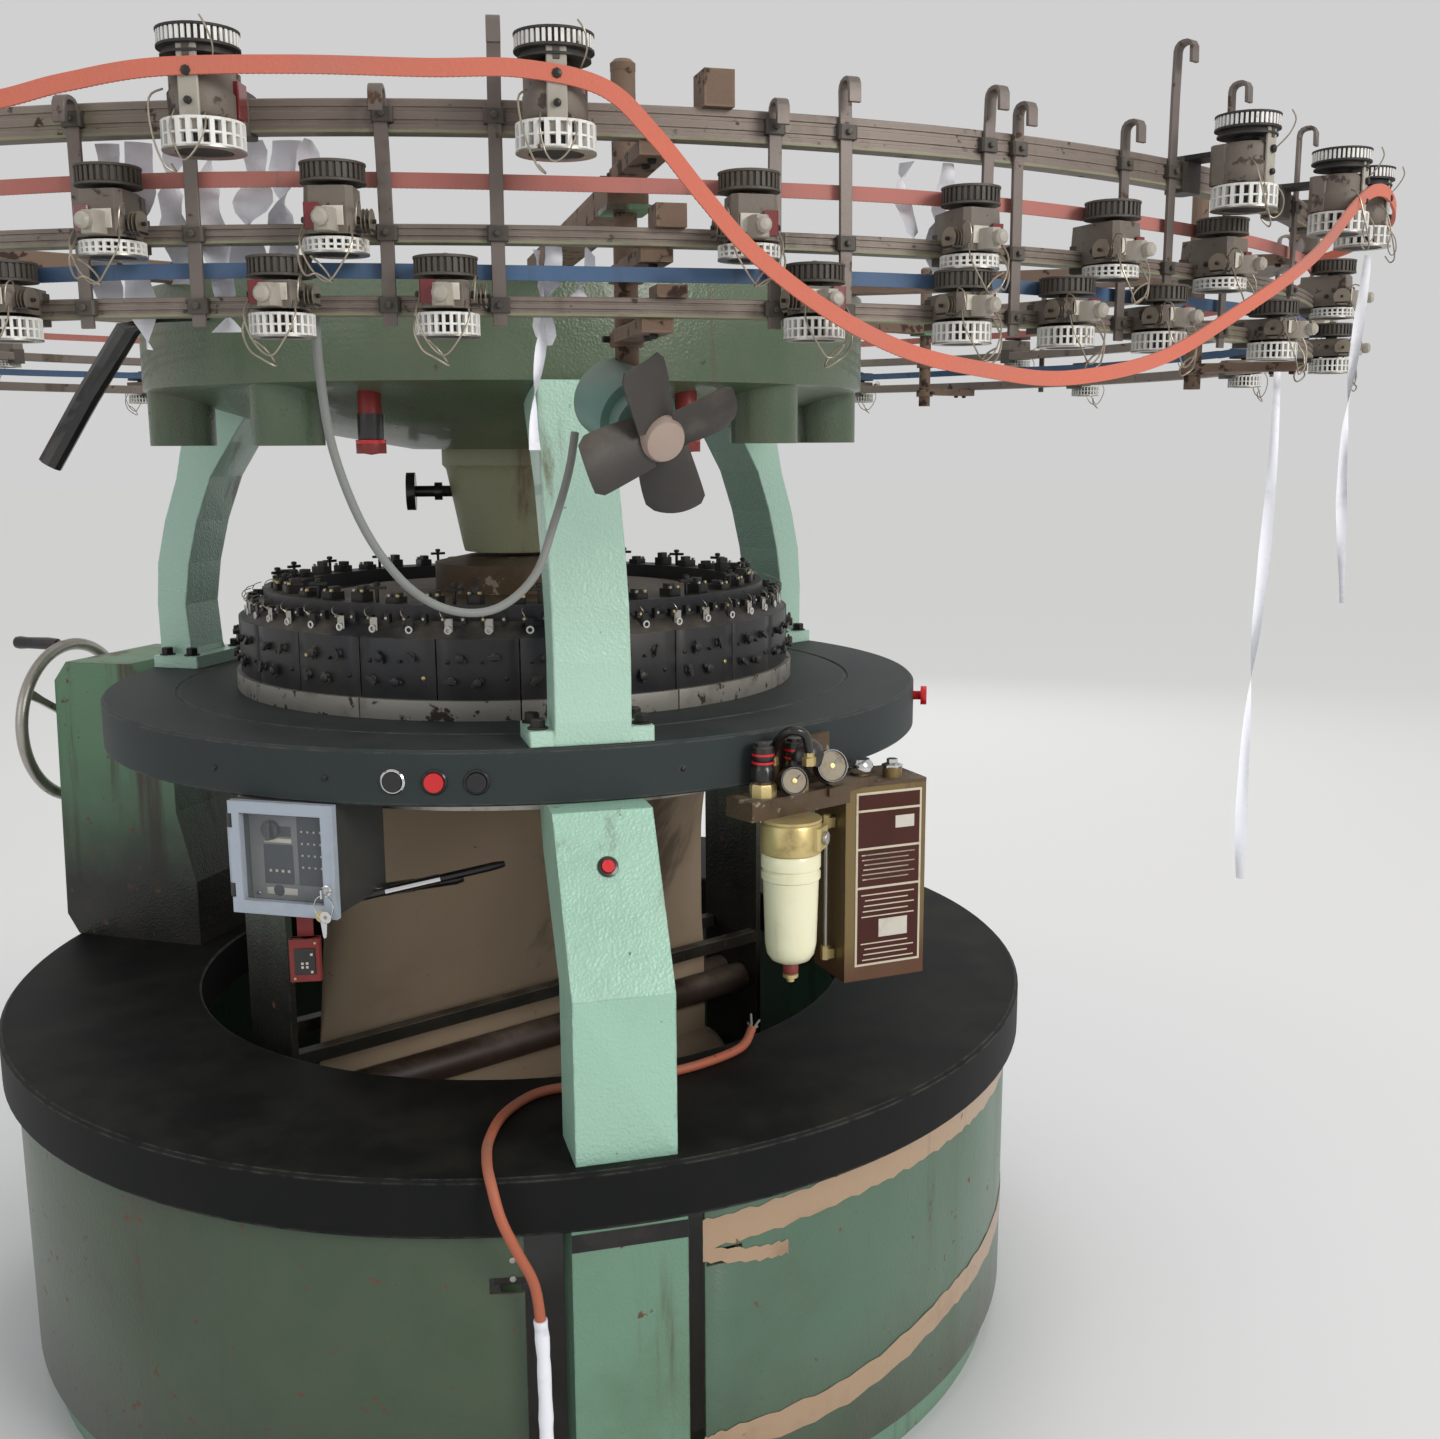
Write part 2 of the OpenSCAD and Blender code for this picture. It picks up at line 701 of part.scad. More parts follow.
module dial_knob()
{
    color([0.06, 0.06, 0.06]) {
        translate([-182, 0, knob_z]) out_x(10, 126);
        translate([-196, 0, knob_z]) out_x(34, 16);
        translate([-146, 0, knob_z]) out_x(16, 14);
    }
}

module small_fittings()
{
    color([0.30, 0.06, 0.05]) {
        difference() {
            for (a = [-112, -62])
                at_az(a, crown_r - 72, crown_bottom) {
                    translate([0, 0, 16]) cylinder(r = 17, h = 80);
                    translate([0, 0, -4]) cylinder(r = 22, h = 20);
                }
            crown_space();
        }
        translate([box_at[0] - 6.5, box_at[1] + 104.6, box_z - 133]) cube([24, 6, 133]);
        translate([box_at[0] - 17.5, box_at[1] + 88.6, box_z - 141]) cube([46, 16, 68]);
    }
}

// feeder rings
module feeder_rings()
{
    color([0.48, 0.44, 0.37]) {
        ring_wall(feeder_ring_r + ring_tube_w / 2, feeder_ring_r - ring_tube_w / 2, low_ring_z, low_top);
        ring_wall(feeder_ring_r + ring_tube_w / 2, feeder_ring_r - ring_tube_w / 2, mid_ring_z, mid_top);
        ring_wall(feeder_ring_r + ring_tube_w / 2, feeder_ring_r - ring_tube_w / 2, up_ring_z, up_top);
    }
}

module ring_carrier()
{
    color([0.42, 0.33, 0.24])
        for (a = post_az) {
            at_az(a, post_r, low_ring_z - 40) cylinder(r = post_tube_r, h = up_top + 116 - low_ring_z);
            for (z = [low_ring_z, mid_ring_z, up_ring_z])
                at_az(a, post_r, z - 14) translate([0, -16, 0]) cube([feeder_ring_r + 6 - post_r, 32, 14]);
            at_az(a, crown_r - 160, crown_high) translate([0, -22, 0]) cube([post_r + 20 - crown_r + 160, 44, 28]);
        }
    color([0.42, 0.33, 0.24])
        for (c = [[-81.5, up_top, 34], [-83.5, mid_top, 22], [-83.5, low_top, 12], [-20, up_top, 34], [95, up_top, 34]])
            at_az(c[0], feeder_ring_r, c[1]) translate([-20, -15, 0]) cube([40, 30, c[2]]);
}

module feeder_rods()
{
    color([0.50, 0.47, 0.42])
        for (rod = rod_list)
            at_az(rod[0], feeder_ring_r + ring_tube_w / 2, 0) {
                translate([0, -7, low_ring_z - 10]) cube([5, 14, rod[1] - low_ring_z + 10]);
                translate([0, -7, rod[1] - 5]) cube([26, 14, 5]);
                translate([21, -7, rod[1] - 26]) cube([5, 14, 22]);
            }
}

module unit_body(a, top, up)
{
    at_az(a, wheel_axis_r, top) {
        translate([-unit_reach - 9, -16, 0]) cube([unit_reach - 5, 32, 6]);
        translate([-20, -24, -16]) cube([46, 48, up + 16]);
        translate([26, -10, -14]) cube([18, 20, 22]);
    }
}

module feeder_units()
{
    color([0.45, 0.43, 0.39]) {
        for (a = low_az) unit_body(a, low_top, 10);
        for (a = mid_az) unit_body(a, mid_top, 27);
        for (a = up_az)
            at_az(a, up_axis_r, up_top) {
                translate([-up_reach - 9, -18, 0]) cube([up_reach - 10, 36, 6]);
                translate([-30, -28, -34]) cube([56, 56, 46]);
            }
        for (a = spin_az)
            at_az(a, up_axis_r, up_top)
                difference() {
                    union() {
                        translate([-up_reach - 9, -18, 0]) cube([up_reach - 10, 36, 6]);
                        translate([-30, -28, -34]) cube([56, 56, 46]);
                    }
                    translate([0, 0, -40]) cylinder(r = 6 + run_gap, h = 60);
                }
    }
}

module feed_wheels()
{
    color([0.78, 0.78, 0.74]) {
        for (a = low_az) {
            at_az(a, wheel_axis_r, low_belt_z - 2) cylinder(r = feed_wheel_r, h = 18, $fn = 10);
            at_az(a, wheel_axis_r, low_top + 10) cylinder(r = 8, h = low_belt_z - low_top - 12, $fn = 6);
            at_az(a, wheel_axis_r, low_ring_z - 22) cylinder(r = feed_wheel_r, h = 22 - pass_gap, $fn = 10);
            at_az(a, wheel_axis_r, low_ring_z - 1) cylinder(r = 12, h = low_tube_h - 15, $fn = 10);
        }
        for (a = mid_az) {
            at_az(a, wheel_axis_r, mid_belt_z - 2) cylinder(r = feed_wheel_r, h = 18, $fn = 10);
            at_az(a, wheel_axis_r, mid_top + 27) cylinder(r = 8, h = mid_belt_z - mid_top - 29, $fn = 6);
            at_az(a, wheel_axis_r, mid_top - 31.5) cylinder(r = feed_wheel_r, h = 31.5 - mid_tube_h - pass_gap, $fn = 10);
            at_az(a, wheel_axis_r, mid_ring_z - 1) cylinder(r = 12, h = mid_tube_h - 15, $fn = 10);
        }
        for (a = up_az) {
            at_az(a, up_axis_r, up_top + 12) cylinder(r = 12, h = 6, $fn = 6);
            at_az(a, up_axis_r, up_top + 18) cylinder(r = big_wheel_r, h = 24, $fn = 10);
            at_az(a, up_axis_r, up_top - 60) cylinder(r = big_wheel_r, h = 26, $fn = 10);
        }
    }
}

module spindle(a)
{
    color([0.80, 0.80, 0.76])
        at_az(a, up_axis_r, up_top) {
            translate([0, 0, 18]) cylinder(r = big_wheel_r, h = 24, $fn = 12);
            translate([0, 0, 12 + pass_gap]) cylinder(r = 12, h = 6 - pass_gap, $fn = 12);
            translate([0, 0, -34 - pass_gap]) cylinder(r = 6, h = 52.5);
            translate([0, 0, -60]) cylinder(r = big_wheel_r, h = 26 - pass_gap, $fn = 12);
        }
}

module spindle_1() { spindle(spin_az[0]); }
module spindle_2() { spindle(spin_az[1]); }
module spindle_3() { spindle(spin_az[2]); }
module spindle_4() { spindle(spin_az[3]); }
module spindle_5() { spindle(spin_az[4]); }

module ring_belts()
{
    color([0.75, 0.42, 0.36]) {
        ring_wall(belt_out_r, belt_out_r - 3, mid_belt_z, mid_belt_z + 14);
        ring_wall(belt_out_r, belt_out_r - 3, low_belt_z, low_belt_z + 14);
    }
}

module belt_slack()
{
    color([0.85, 0.33, 0.18]) ribbon_loop(slack, 15, 3);
}

// control box
box_hinge = [6.6, -box_w / 2 - 4];
hinge_pin_r = 2.5;
hinge_ear_r = 5;
hinge_ears = [20, 125];

module at_box()
{
    translate([box_at[0], box_at[1], box_z]) rotate([0, 0, box_az]) children();
}

module control_box()
{
    color([0.22, 0.22, 0.21])
        at_box()
            difference() {
                translate([-box_d, -box_w / 2, 0]) cube([box_d, box_w, box_h]);
                translate([-box_d + 3, -box_w / 2 + 3, 3]) cube([box_d - 40, box_w - 6, box_h - 6]);
                translate([-20, -box_w / 2 + 8, 8]) cube([30, box_w - 16, box_h - 16]);
                translate([-36, -34, 116]) out_x(5 + run_gap, 30);
            }
    color([0.22, 0.22, 0.21])
        at_box() {
            translate([box_hinge[0], box_hinge[1], 20]) cylinder(r = hinge_pin_r, h = 125);
            for (z = hinge_ears) {
                translate([box_hinge[0], box_hinge[1], z]) cylinder(r = hinge_ear_r, h = 20);
                translate([-20, box_hinge[1] - hinge_ear_r, z]) cube([box_hinge[0] + 20, 3, 20]);
                translate([-20, box_hinge[1] - hinge_ear_r, z]) cube([20 - pass_gap, 9.1, 20]);
            }
        }
}

module box_door()
{
    color([0.70, 0.72, 0.70])
        at_box()
            difference() {
                union() {
                    translate([pass_gap, -box_w / 2 - 4, -4]) cube([12, box_w + 8, box_h + 4]);
                    translate([box_hinge[0], box_hinge[1], 40 + pass_gap]) cylinder(r = hinge_ear_r, h = 85 - 2 * pass_gap);
                }
                for (z = hinge_ears)
                    translate([-1, box_hinge[1] - 6, z - pass_gap]) cube([20, 6 + hinge_ear_r + pass_gap, 20 + 2 * pass_gap]);
                translate([box_hinge[0], box_hinge[1], -6]) cylinder(r = hinge_pin_r + run_gap, h = box_h + 20);
                translate([-1, -box_w / 2 + 14, 16]) cube([30, box_w - 30, box_h - 34]);
                translate([-2, 71, 40]) out_x(5 + run_gap, 20);
            }
}

module box_window()
{
    color([0.6, 0.65, 0.65, 0.4])
        at_box()
            translate([5, -box_w / 2 + 14, 16]) cube([3, box_w - 30, box_h - 34]);
}

module box_selector()
{
    color([0.05, 0.05, 0.05])
        at_box() {
            translate([-34, -34, 116]) out_x(5, 20);
            translate([-20 + pass_gap, -34, 116]) out_x(15, 8);
            translate([-12, -38, 102]) cube([7, 8, 28]);
        }
}

module box_key()
{
    color([0.62, 0.60, 0.55])
        at_box() {
            translate([0.8, 71, 40]) out_x(5, 16);
            translate([14, 71 - 1.5, 30]) cube([20, 3, 20]);
            translate([22, 71 - 12, -2]) cube([2, 24, 32]);
        }
}

// oil unit
module at_oil()
{
    translate([oil_at[0], oil_at[1], 0]) rotate([0, 0, oil_az]) children();
}

module oil_tank()
{
    color([0.55, 0.47, 0.26])
        at_oil() {
            translate([-110, -72, oil_top - tank_h]) cube([110, 144, tank_h]);
            translate([-30, 26, oil_top]) cylinder(r = 16, h = 20);
            translate([-24, -34, oil_top]) cylinder(r = tank_neck_r, h = 38);
        }
}

reg_az = [-62.3, -57.6];
module oil_unit()
{
    color([0.50, 0.42, 0.24])
        difference() {
            union() {
                at_az(-56, table_r - 15, bowl_top) translate([0, -70, 0]) cube([reg_plate_t, 140, 106]);
                at_az(-58, table_r - 10, bowl_top) translate([0, -100, 0]) cube([60, 200, 30]);
                at_az(-50, table_r - 35, oil_top) translate([0, -60, 0]) cube([90, 120, 12]);
                for (a = reg_az)
                    at_az(a, reg_r, reg_z - 6) {
                        cylinder(r = 15, h = 30);
                        cylinder(r = 5, h = 48);
                    }
                at_az(-52.8, table_r + 33, reg_z + 26) out_x(25, 18);
                at_az(-52.8, table_r + 41, oil_top + 6) cylinder(r = 7, h = 20);
            }
            translate([0, 0, table_low]) cylinder(r = table_r, h = 100);
            translate([0, 0, table_low - 60]) cylinder(r = table_r - 45, h = 100);
            at_oil() translate([-110, -72, oil_top - tank_h]) cube([110, 144, tank_h]);
            at_oil() translate([-24, -34, oil_top - 1]) cylinder(r = tank_neck_r + pass_gap, h = 40);
        }
}

module filter_bowl()
{
    color([0.84, 0.78, 0.55])
        translate([bowl_at[0], bowl_at[1], bowl_top - 224]) {
            difference() {
                translate([0, 0, 172]) cylinder(r = 46, h = 52);
                translate([0, 0, 171]) cylinder(r = 30, h = 10);
            }
            difference() {
                rotate_extrude()
                    polygon([[0, 0], [20, 0], [34, 10], [40, 30], [42, 172], [0, 172]]);
                translate([0, 0, -1]) cylinder(r = 6 + run_gap, h = 20);
            }
        }
}

module regulator(a)
{
    at_az(a, reg_r, reg_z + 24 + pass_gap)
        difference() {
            union() {
                cylinder(r = reg_knob_r, h = 52, $fn = 12);
                translate([0, 0, 52]) cylinder(r = 13, h = 6, $fn = 12);
            }
            translate([0, 0, -1]) cylinder(r = 5 + run_gap, h = 20);
        }
}

module regulator_a()
{
    color([0.07, 0.07, 0.07]) regulator(reg_az[0]);
}

module regulator_b()
{
    color([0.07, 0.07, 0.07]) regulator(reg_az[1]);
}

module drain_valve()
{
    color([0.70, 0.20, 0.12])
        translate([bowl_at[0], bowl_at[1], bowl_top - 256]) {
            cylinder(r = 6, h = 48);
            translate([0, 0, 6]) cylinder(r = 13, h = 16, $fn = 8);
        }
}

// fan
module at_fan()
{
    translate(fan_hub) rotate([0, 0, fan_turn]) rotate([0, fan_tilt, 0]) children();
}

module fan_motor()
{
    color([0.35, 0.50, 0.48]) {
        difference() {
            at_fan() {
                translate([0, 0, -124]) cylinder(r = 44, h = 70);
                translate([0, 0, -54]) cylinder(r = 34, h = 20);
            }
            at_fan() translate([0, 0, -64]) cylinder(r = 7 + run_gap, h = 40);
            at_az(post_az[0], post_r, low_ring_z - 40) cylinder(r = post_tube_r + pass_gap, h = 60);
        }
        at_az(post_az[0], post_r, low_ring_z - 66) cylinder(r = 18, h = 26);
    }
}

module fan_rotor()
{
    color([0.12, 0.13, 0.13])
        at_fan() {
            translate([0, 0, -60]) cylinder(r = 7, h = 60);
            translate([0, 0, -14]) cylinder(r = 24, h = 30);
            for (k = [0 : 3])
                rotate([0, 0, 90 * k + 20])
                    translate([14, 0, 0]) rotate([24, 0, 0]) translate([0, -32, -2]) cube([74, 64, 3]);
        }
}

// pipes and cords
pipe_rows = [[-134.3, -31, -44], [-136.4, 58.4, -50], [-137.9, 111.4, -82], [-140.6, 159.5, -174], [-143.4, 205.6, -272]];

module crown_pipe()
{
    color([0.06, 0.06, 0.06])
        difference() {
            tube_along([for (q = pipe_rows) concat(polar(q[0], crown_r + q[1]), [crown_high + q[2]])], 34, 10);
            translate([0, 0, crown_low]) cylinder(r = crown_r + 2 * pass_gap, h = crown_high - crown_low + 50);
        }
}

module orange_cable()
{
    color([0.80, 0.36, 0.20]) tube_along(smooth(orange_path, 2), orange_d, 10);
}

module grey_cable()
{
    color([0.45, 0.45, 0.43]) tube_along(smooth(grey_path, 3), grey_d, 8);
}

floor_frame();
drum_back();
door_left();
door_right();
latch_left();
latch_right();
lower_ring();
lower_legs();
leg_button();
drive_housing();
handwheel();
table();
button_start();
button_stop();
button_jog();
stop_mushroom();
cam_base();
cam_boxes();
cam_knobs();
dial_ring();
needle_cylinder();
dial_disc();
takedown_frame();
roller_front();
roller_rear();
cloth_roll();
cloth_tube();
upper_legs();
crown();
dial_housing();
dial_knob();
small_fittings();
feeder_rings();
ring_carrier();
feeder_rods();
feeder_units();
feed_wheels();
spindle_1();
spindle_2();
spindle_3();
spindle_4();
spindle_5();
ring_belts();
belt_slack();
control_box();
box_door();
box_window();
box_selector();
box_key();
oil_tank();
oil_unit();
filter_bowl();
regulator_a();
regulator_b();
drain_valve();
fan_motor();
fan_rotor();
crown_pipe();
orange_cable();
grey_cable();
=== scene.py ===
import random
from math import acos, atan2, cos, degrees, pi, radians, sin, sqrt

import bpy
from mathutils import Matrix, Vector


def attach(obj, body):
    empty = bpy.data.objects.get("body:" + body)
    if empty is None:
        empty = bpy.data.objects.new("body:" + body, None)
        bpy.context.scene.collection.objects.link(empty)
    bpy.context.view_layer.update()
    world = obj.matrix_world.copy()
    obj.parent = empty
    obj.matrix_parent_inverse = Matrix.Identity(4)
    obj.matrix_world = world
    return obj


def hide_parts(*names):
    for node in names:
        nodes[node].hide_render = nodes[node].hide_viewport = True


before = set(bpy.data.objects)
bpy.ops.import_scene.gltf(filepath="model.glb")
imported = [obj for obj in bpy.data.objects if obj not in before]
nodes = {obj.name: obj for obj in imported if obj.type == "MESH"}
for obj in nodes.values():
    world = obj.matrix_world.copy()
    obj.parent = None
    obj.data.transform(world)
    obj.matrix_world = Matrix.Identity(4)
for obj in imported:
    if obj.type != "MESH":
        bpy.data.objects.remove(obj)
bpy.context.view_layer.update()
random.seed(11)
print("frame loaded")


def rgb(*color):
    parts = [c / 255 for c in color]
    return (*[c / 12.92 if c <= 0.04045 else ((c + 0.055) / 1.055) ** 2.4 for c in parts], 1.0)


class Net:
    def __init__(self, tree):
        self.tree = tree

    def put(self, socket, value):
        if isinstance(value, bpy.types.NodeSocket):
            self.tree.links.new(value, socket)
        else:
            socket.default_value = value

    def node(self, kind, inputs=None, **settings):
        made = self.tree.nodes.new(kind)
        for key, value in settings.items():
            setattr(made, key, value)
        for key, value in (inputs or {}).items():
            self.put(made.inputs[key], value)
        return made

    def math(self, operation, a, b=0.0, clamp=False):
        return self.node("ShaderNodeMath", {0: a, 1: b}, operation=operation, use_clamp=clamp).outputs[0]

    def mix(self, factor, a, b):
        return self.node("ShaderNodeMix", {0: factor, 6: a, 7: b}, data_type="RGBA").outputs[2]

    def fit(self, value, low, high):
        span = {"Value": value, "From Min": low, "From Max": high}
        return self.node("ShaderNodeMapRange", span, interpolation_type="SMOOTHSTEP").outputs[0]

    def place(self, stretch=(1, 1, 1)):
        coords = self.node("ShaderNodeTexCoord").outputs["Object"]
        return self.node("ShaderNodeMapping", {"Vector": coords, "Scale": stretch}).outputs[0]

    def noise(self, scale, detail=5.0, stretch=(1, 1, 1), rough=0.6):
        settings = {"Vector": self.place(stretch), "Scale": scale, "Detail": detail, "Roughness": rough}
        return self.node("ShaderNodeTexNoise", settings).outputs[0]

    def bump(self, height, strength, distance):
        settings = {"Height": height, "Strength": strength, "Distance": distance}
        return self.node("ShaderNodeBump", settings).outputs[0]


def effect(name, inputs, fill, output="Mask"):
    tree = bpy.data.node_groups.new(name, "ShaderNodeTree")
    for label, value in inputs.items():
        tree.interface.new_socket(label, in_out="INPUT", socket_type="NodeSocketFloat").default_value = value
    kind = "NodeSocketVector" if output == "Normal" else "NodeSocketFloat"
    tree.interface.new_socket(output, in_out="OUTPUT", socket_type=kind)
    net = Net(tree)
    source, target = net.node("NodeGroupInput"), net.node("NodeGroupOutput")
    net.put(target.inputs[output], fill(net, source.outputs))
    return tree


def patches(net, given, detail, stretch, soft):
    value = net.noise(given["Scale"], detail, stretch)
    start = net.math("SUBTRACT", 0.74, net.math("MULTIPLY", given["Amount"], 0.46))
    return net.fit(value, start, net.math("ADD", start, soft))


def fillBlotch(net, given):
    return patches(net, given, 7.0, (1, 1, 1), given["Soft"])


def fillStreak(net, given):
    return patches(net, given, 6.0, (1, 1, 0.07), 0.16)


def fillDust(net, given):
    facing = net.node("ShaderNodeNewGeometry").outputs["Normal"]
    up = net.node("ShaderNodeSeparateXYZ", {0: facing}).outputs[2]
    spread = net.fit(net.noise(given["Scale"], 7.0), 0.34, 0.68)
    lifted = net.math("ADD", net.math("MULTIPLY", net.fit(up, 0.1, 0.98), 0.85), 0.15)
    return net.math("MULTIPLY", net.math("MULTIPLY", lifted, spread), given["Amount"], True)


def fillHammer(net, given):
    cellSettings = {"Vector": net.place(), "Scale": given["Scale"]}
    cells = net.node("ShaderNodeTexVoronoi", cellSettings, feature="SMOOTH_F1").outputs["Distance"]
    height = net.math("ADD", cells, net.math("MULTIPLY", net.noise(60.0, 2.0, rough=0.5), 0.8))
    return net.bump(height, given["Strength"], 0.0016)


def fillGrain(net, given):
    return net.bump(net.noise(given["Scale"], 6.0), given["Strength"], 0.0009)


def fillEdge(net, given):
    soft = net.node("ShaderNodeBevel", {"Radius": given["Radius"]}, samples=3).outputs[0]
    plain = net.node("ShaderNodeNewGeometry").outputs["Normal"]
    dot = net.node("ShaderNodeVectorMath", {0: soft, 1: plain}, operation="DOT_PRODUCT").outputs["Value"]
    turned = net.fit(net.math("SUBTRACT", 1.0, dot), 0.015, 0.16)
    ragged = net.fit(net.noise(38.0), 0.36, 0.62)
    return net.math("MULTIPLY", net.math("MULTIPLY", turned, ragged), given["Amount"], True)


def fillHeight(net, given):
    z = net.node("ShaderNodeSeparateXYZ", {0: net.place()}).outputs[2]
    drift = net.math("SUBTRACT", net.noise(5.0, 6.0), 0.5)
    z = net.math("ADD", z, net.math("MULTIPLY", drift, given["Ragged"]))
    return net.math("SUBTRACT", 1.0, net.fit(z, given["Low"], given["High"]))


blotch = effect("blotchMask", {"Scale": 6.0, "Amount": 0.5, "Soft": 0.14}, fillBlotch)
streak = effect("streakMask", {"Scale": 14.0, "Amount": 0.4}, fillStreak)
dust = effect("dustMask", {"Scale": 9.0, "Amount": 0.5}, fillDust)
hammer = effect("hammerNormal", {"Scale": 130.0, "Strength": 0.4}, fillHammer, "Normal")
grain = effect("grainNormal", {"Scale": 260.0, "Strength": 0.25}, fillGrain, "Normal")
edge = effect("edgeMask", {"Radius": 0.004, "Amount": 0.6}, fillEdge)
height = effect("heightMask", {"Low": 0.1, "High": 0.4, "Ragged": 0.2}, fillHeight)

# for each layer of a material: its mask, the values that follow its colour, and how much it roughens
layerKinds = {
    "alt": (blotch, {"Scale": 5.0, "Amount": 0.5, "Soft": 0.3}, 0),
    "streaks": (streak, {"Scale": 14.0, "Amount": 0.35}, 0),
    "low": (height, {"Low": 0.1, "High": 0.4}, 0),
    "spots": (blotch, {"Amount": 0.25, "Scale": 40.0, "Soft": 0.05}, 0.25),
    "edges": (edge, {"Amount": 0.6, "Radius": 0.004}, 0),
    "dusty": (dust, {"Amount": 0.5, "Scale": 9.0}, 0.45),
}
looks = {}


def material(name, base, rough=0.5, metal=0.0, dusty=0.0, dustTint=(142, 130, 114), bump=grain, depth=0.25,
             bumpScale=260.0, alpha=1.0, glass=0.0, coat=0.0, shine=0.5, **layers):
    made = bpy.data.materials.new(name)
    made.use_nodes = True
    net = Net(made.node_tree)
    color, roughness = rgb(*base), rough
    if dusty:
        layers["dusty"] = (*dustTint, dusty)
    for kind, (group, defaults, rougher) in layerKinds.items():
        if kind in layers:
            settings = dict(defaults)
            settings.update(zip(defaults, layers[kind][3:]))
            mask = net.node("ShaderNodeGroup", settings, node_tree=group).outputs[0]
            color = net.mix(mask, color, rgb(*layers[kind][:3]))
            if rougher:
                roughness = net.math("ADD", net.math("MULTIPLY", mask, rougher), roughness, True)
    values = {"Base Color": color, "Roughness": roughness, "Metallic": metal, "Alpha": alpha,
              "Transmission Weight": glass, "Coat Weight": coat, "Specular IOR Level": shine}
    if bump:
        settings = {"Scale": bumpScale, "Strength": depth}
        values["Normal"] = net.node("ShaderNodeGroup", settings, node_tree=bump).outputs[0]
    for label, value in values.items():
        net.put(made.node_tree.nodes["Principled BSDF"].inputs[label], value)
    looks[name] = made


rust = (92, 58, 38)
material("greenDoor", (76, 104, 84), 0.36, alt=(62, 84, 64, 2.2), streaks=(62, 60, 44, 14, 0.35),
         edges=(66, 50, 36, 0.9), spots=(*rust, 0.2), bump=hammer, depth=0.32, dusty=0.35,
         low=(58, 66, 48, 0.02, 0.3), coat=0.15)
# the left door's paint: the door green made darker, painted shade on the left door
material("greenDoorPaintedShade", (60, 78, 56), 0.36, alt=(50, 62, 42, 2.2), streaks=(58, 54, 38, 14, 0.4),
         edges=(66, 50, 36, 0.9), spots=(*rust, 0.22), bump=hammer, depth=0.32, dusty=0.3,
         low=(52, 58, 42, 0.02, 0.3), coat=0.15)
# the floor frame's paint: the door green made lighter, painted light on the post
material("greenPostPaintedLight", (102, 138, 114), 0.36, alt=(88, 118, 94, 3), streaks=(74, 72, 52, 14, 0.35),
         edges=(72, 58, 40, 0.9), spots=(*rust, 0.16), bump=hammer, depth=0.4, dusty=0.25, coat=0.2)
# the upper legs' paint: the door green made much lighter, painted light on the legs
material("greenUprightPaintedLight", (176, 210, 190), 0.32, alt=(156, 190, 168, 3), streaks=(112, 112, 84, 14, 0.3),
         edges=(90, 84, 60, 0.8), spots=(62, 56, 42, 0.1, 55), bump=hammer, depth=0.55, dusty=0.2,
         coat=0.25)
# the lower legs' paint: the door green made much lighter, painted light on the legs
material("greenLegPaintedLight", (156, 196, 174), 0.34, alt=(138, 176, 154, 3), streaks=(100, 100, 74, 14, 0.35),
         edges=(84, 78, 54, 0.8), spots=(58, 52, 38, 0.12, 55), bump=hammer, depth=0.55, dusty=0.2,
         coat=0.2)
# its low layer darkens the drive housing below the table and the whole take-down frame inside the drum:
# painted shade
material("greenDark", (92, 130, 98), 0.44, alt=(84, 110, 80, 3), streaks=(60, 52, 38, 14, 0.5),
         edges=(90, 72, 50), spots=(*rust, 0.2), bump=hammer, depth=0.4, dusty=0.35,
         low=(20, 20, 12, 0.72, 1.06))
material("greenCrown", (78, 96, 72), 0.36, alt=(92, 98, 72, 3.2), streaks=(84, 80, 56, 14, 0.3),
         edges=(110, 96, 66), spots=(66, 60, 44, 0.15), bump=hammer, depth=0.55, dusty=0.8, coat=0.15)
material("paleGreen", (150, 150, 118), 0.5, alt=(128, 120, 92, 8), streaks=(104, 84, 60), dusty=0.6,
         bump=hammer, depth=0.4)
material("blackRing", (20, 22, 21), 0.55, alt=(25, 27, 25, 4), spots=(58, 56, 50, 0.03),
         edges=(104, 104, 98, 0.75, 0.005), dusty=0.04, bumpScale=420, depth=0.3, shine=0.12)
material("tableDark", (52, 58, 58), 0.55, alt=(58, 63, 62, 3), spots=(70, 62, 50, 0.08),
         edges=(112, 110, 102, 0.75, 0.005), dusty=0.07, bumpScale=420, depth=0.3, shine=0.14)
material("camBlack", (36, 37, 41), 0.42, metal=0.2, alt=(46, 46, 50, 12), edges=(96, 90, 78, 0.7, 0.0025),
         spots=(84, 66, 48, 0.14), dusty=0.5)
material("blackMetal", (24, 24, 25), 0.38, metal=0.3, alt=(44, 40, 36, 24), dusty=0.4)
material("greyBand", (138, 134, 126), 0.5, metal=0.3, alt=(92, 86, 78, 16), spots=(50, 44, 38, 0.35),
         dusty=0.3)
material("steel", (176, 172, 164), 0.34, metal=0.9, alt=(120, 108, 92, 26), spots=(*rust, 0.15), dusty=0.3)
material("chrome", (214, 214, 214), 0.14, metal=1.0, spots=(120, 110, 96, 0.15), bump=None)
material("oldBrass", (204, 184, 128), 0.38, metal=0.7, alt=(150, 128, 80, 24), dusty=0.4)
material("ringTube", (120, 108, 100), 0.5, metal=0.3, alt=(140, 142, 104, 2.6, 0.4),
         streaks=(88, 76, 66, 14, 0.4), edges=(172, 164, 148, 0.6, 0.002), spots=(60, 50, 40, 0.25, 60),
         dusty=0.6)
material("ringTubeGreen", (132, 130, 102), 0.55, alt=(104, 96, 66, 12), dusty=0.4)
material("rustPost", (112, 90, 74), 0.7, metal=0.2, alt=(84, 64, 52, 20), edges=(150, 130, 108),
         spots=(60, 44, 36, 0.4), dusty=0.5, depth=0.6)
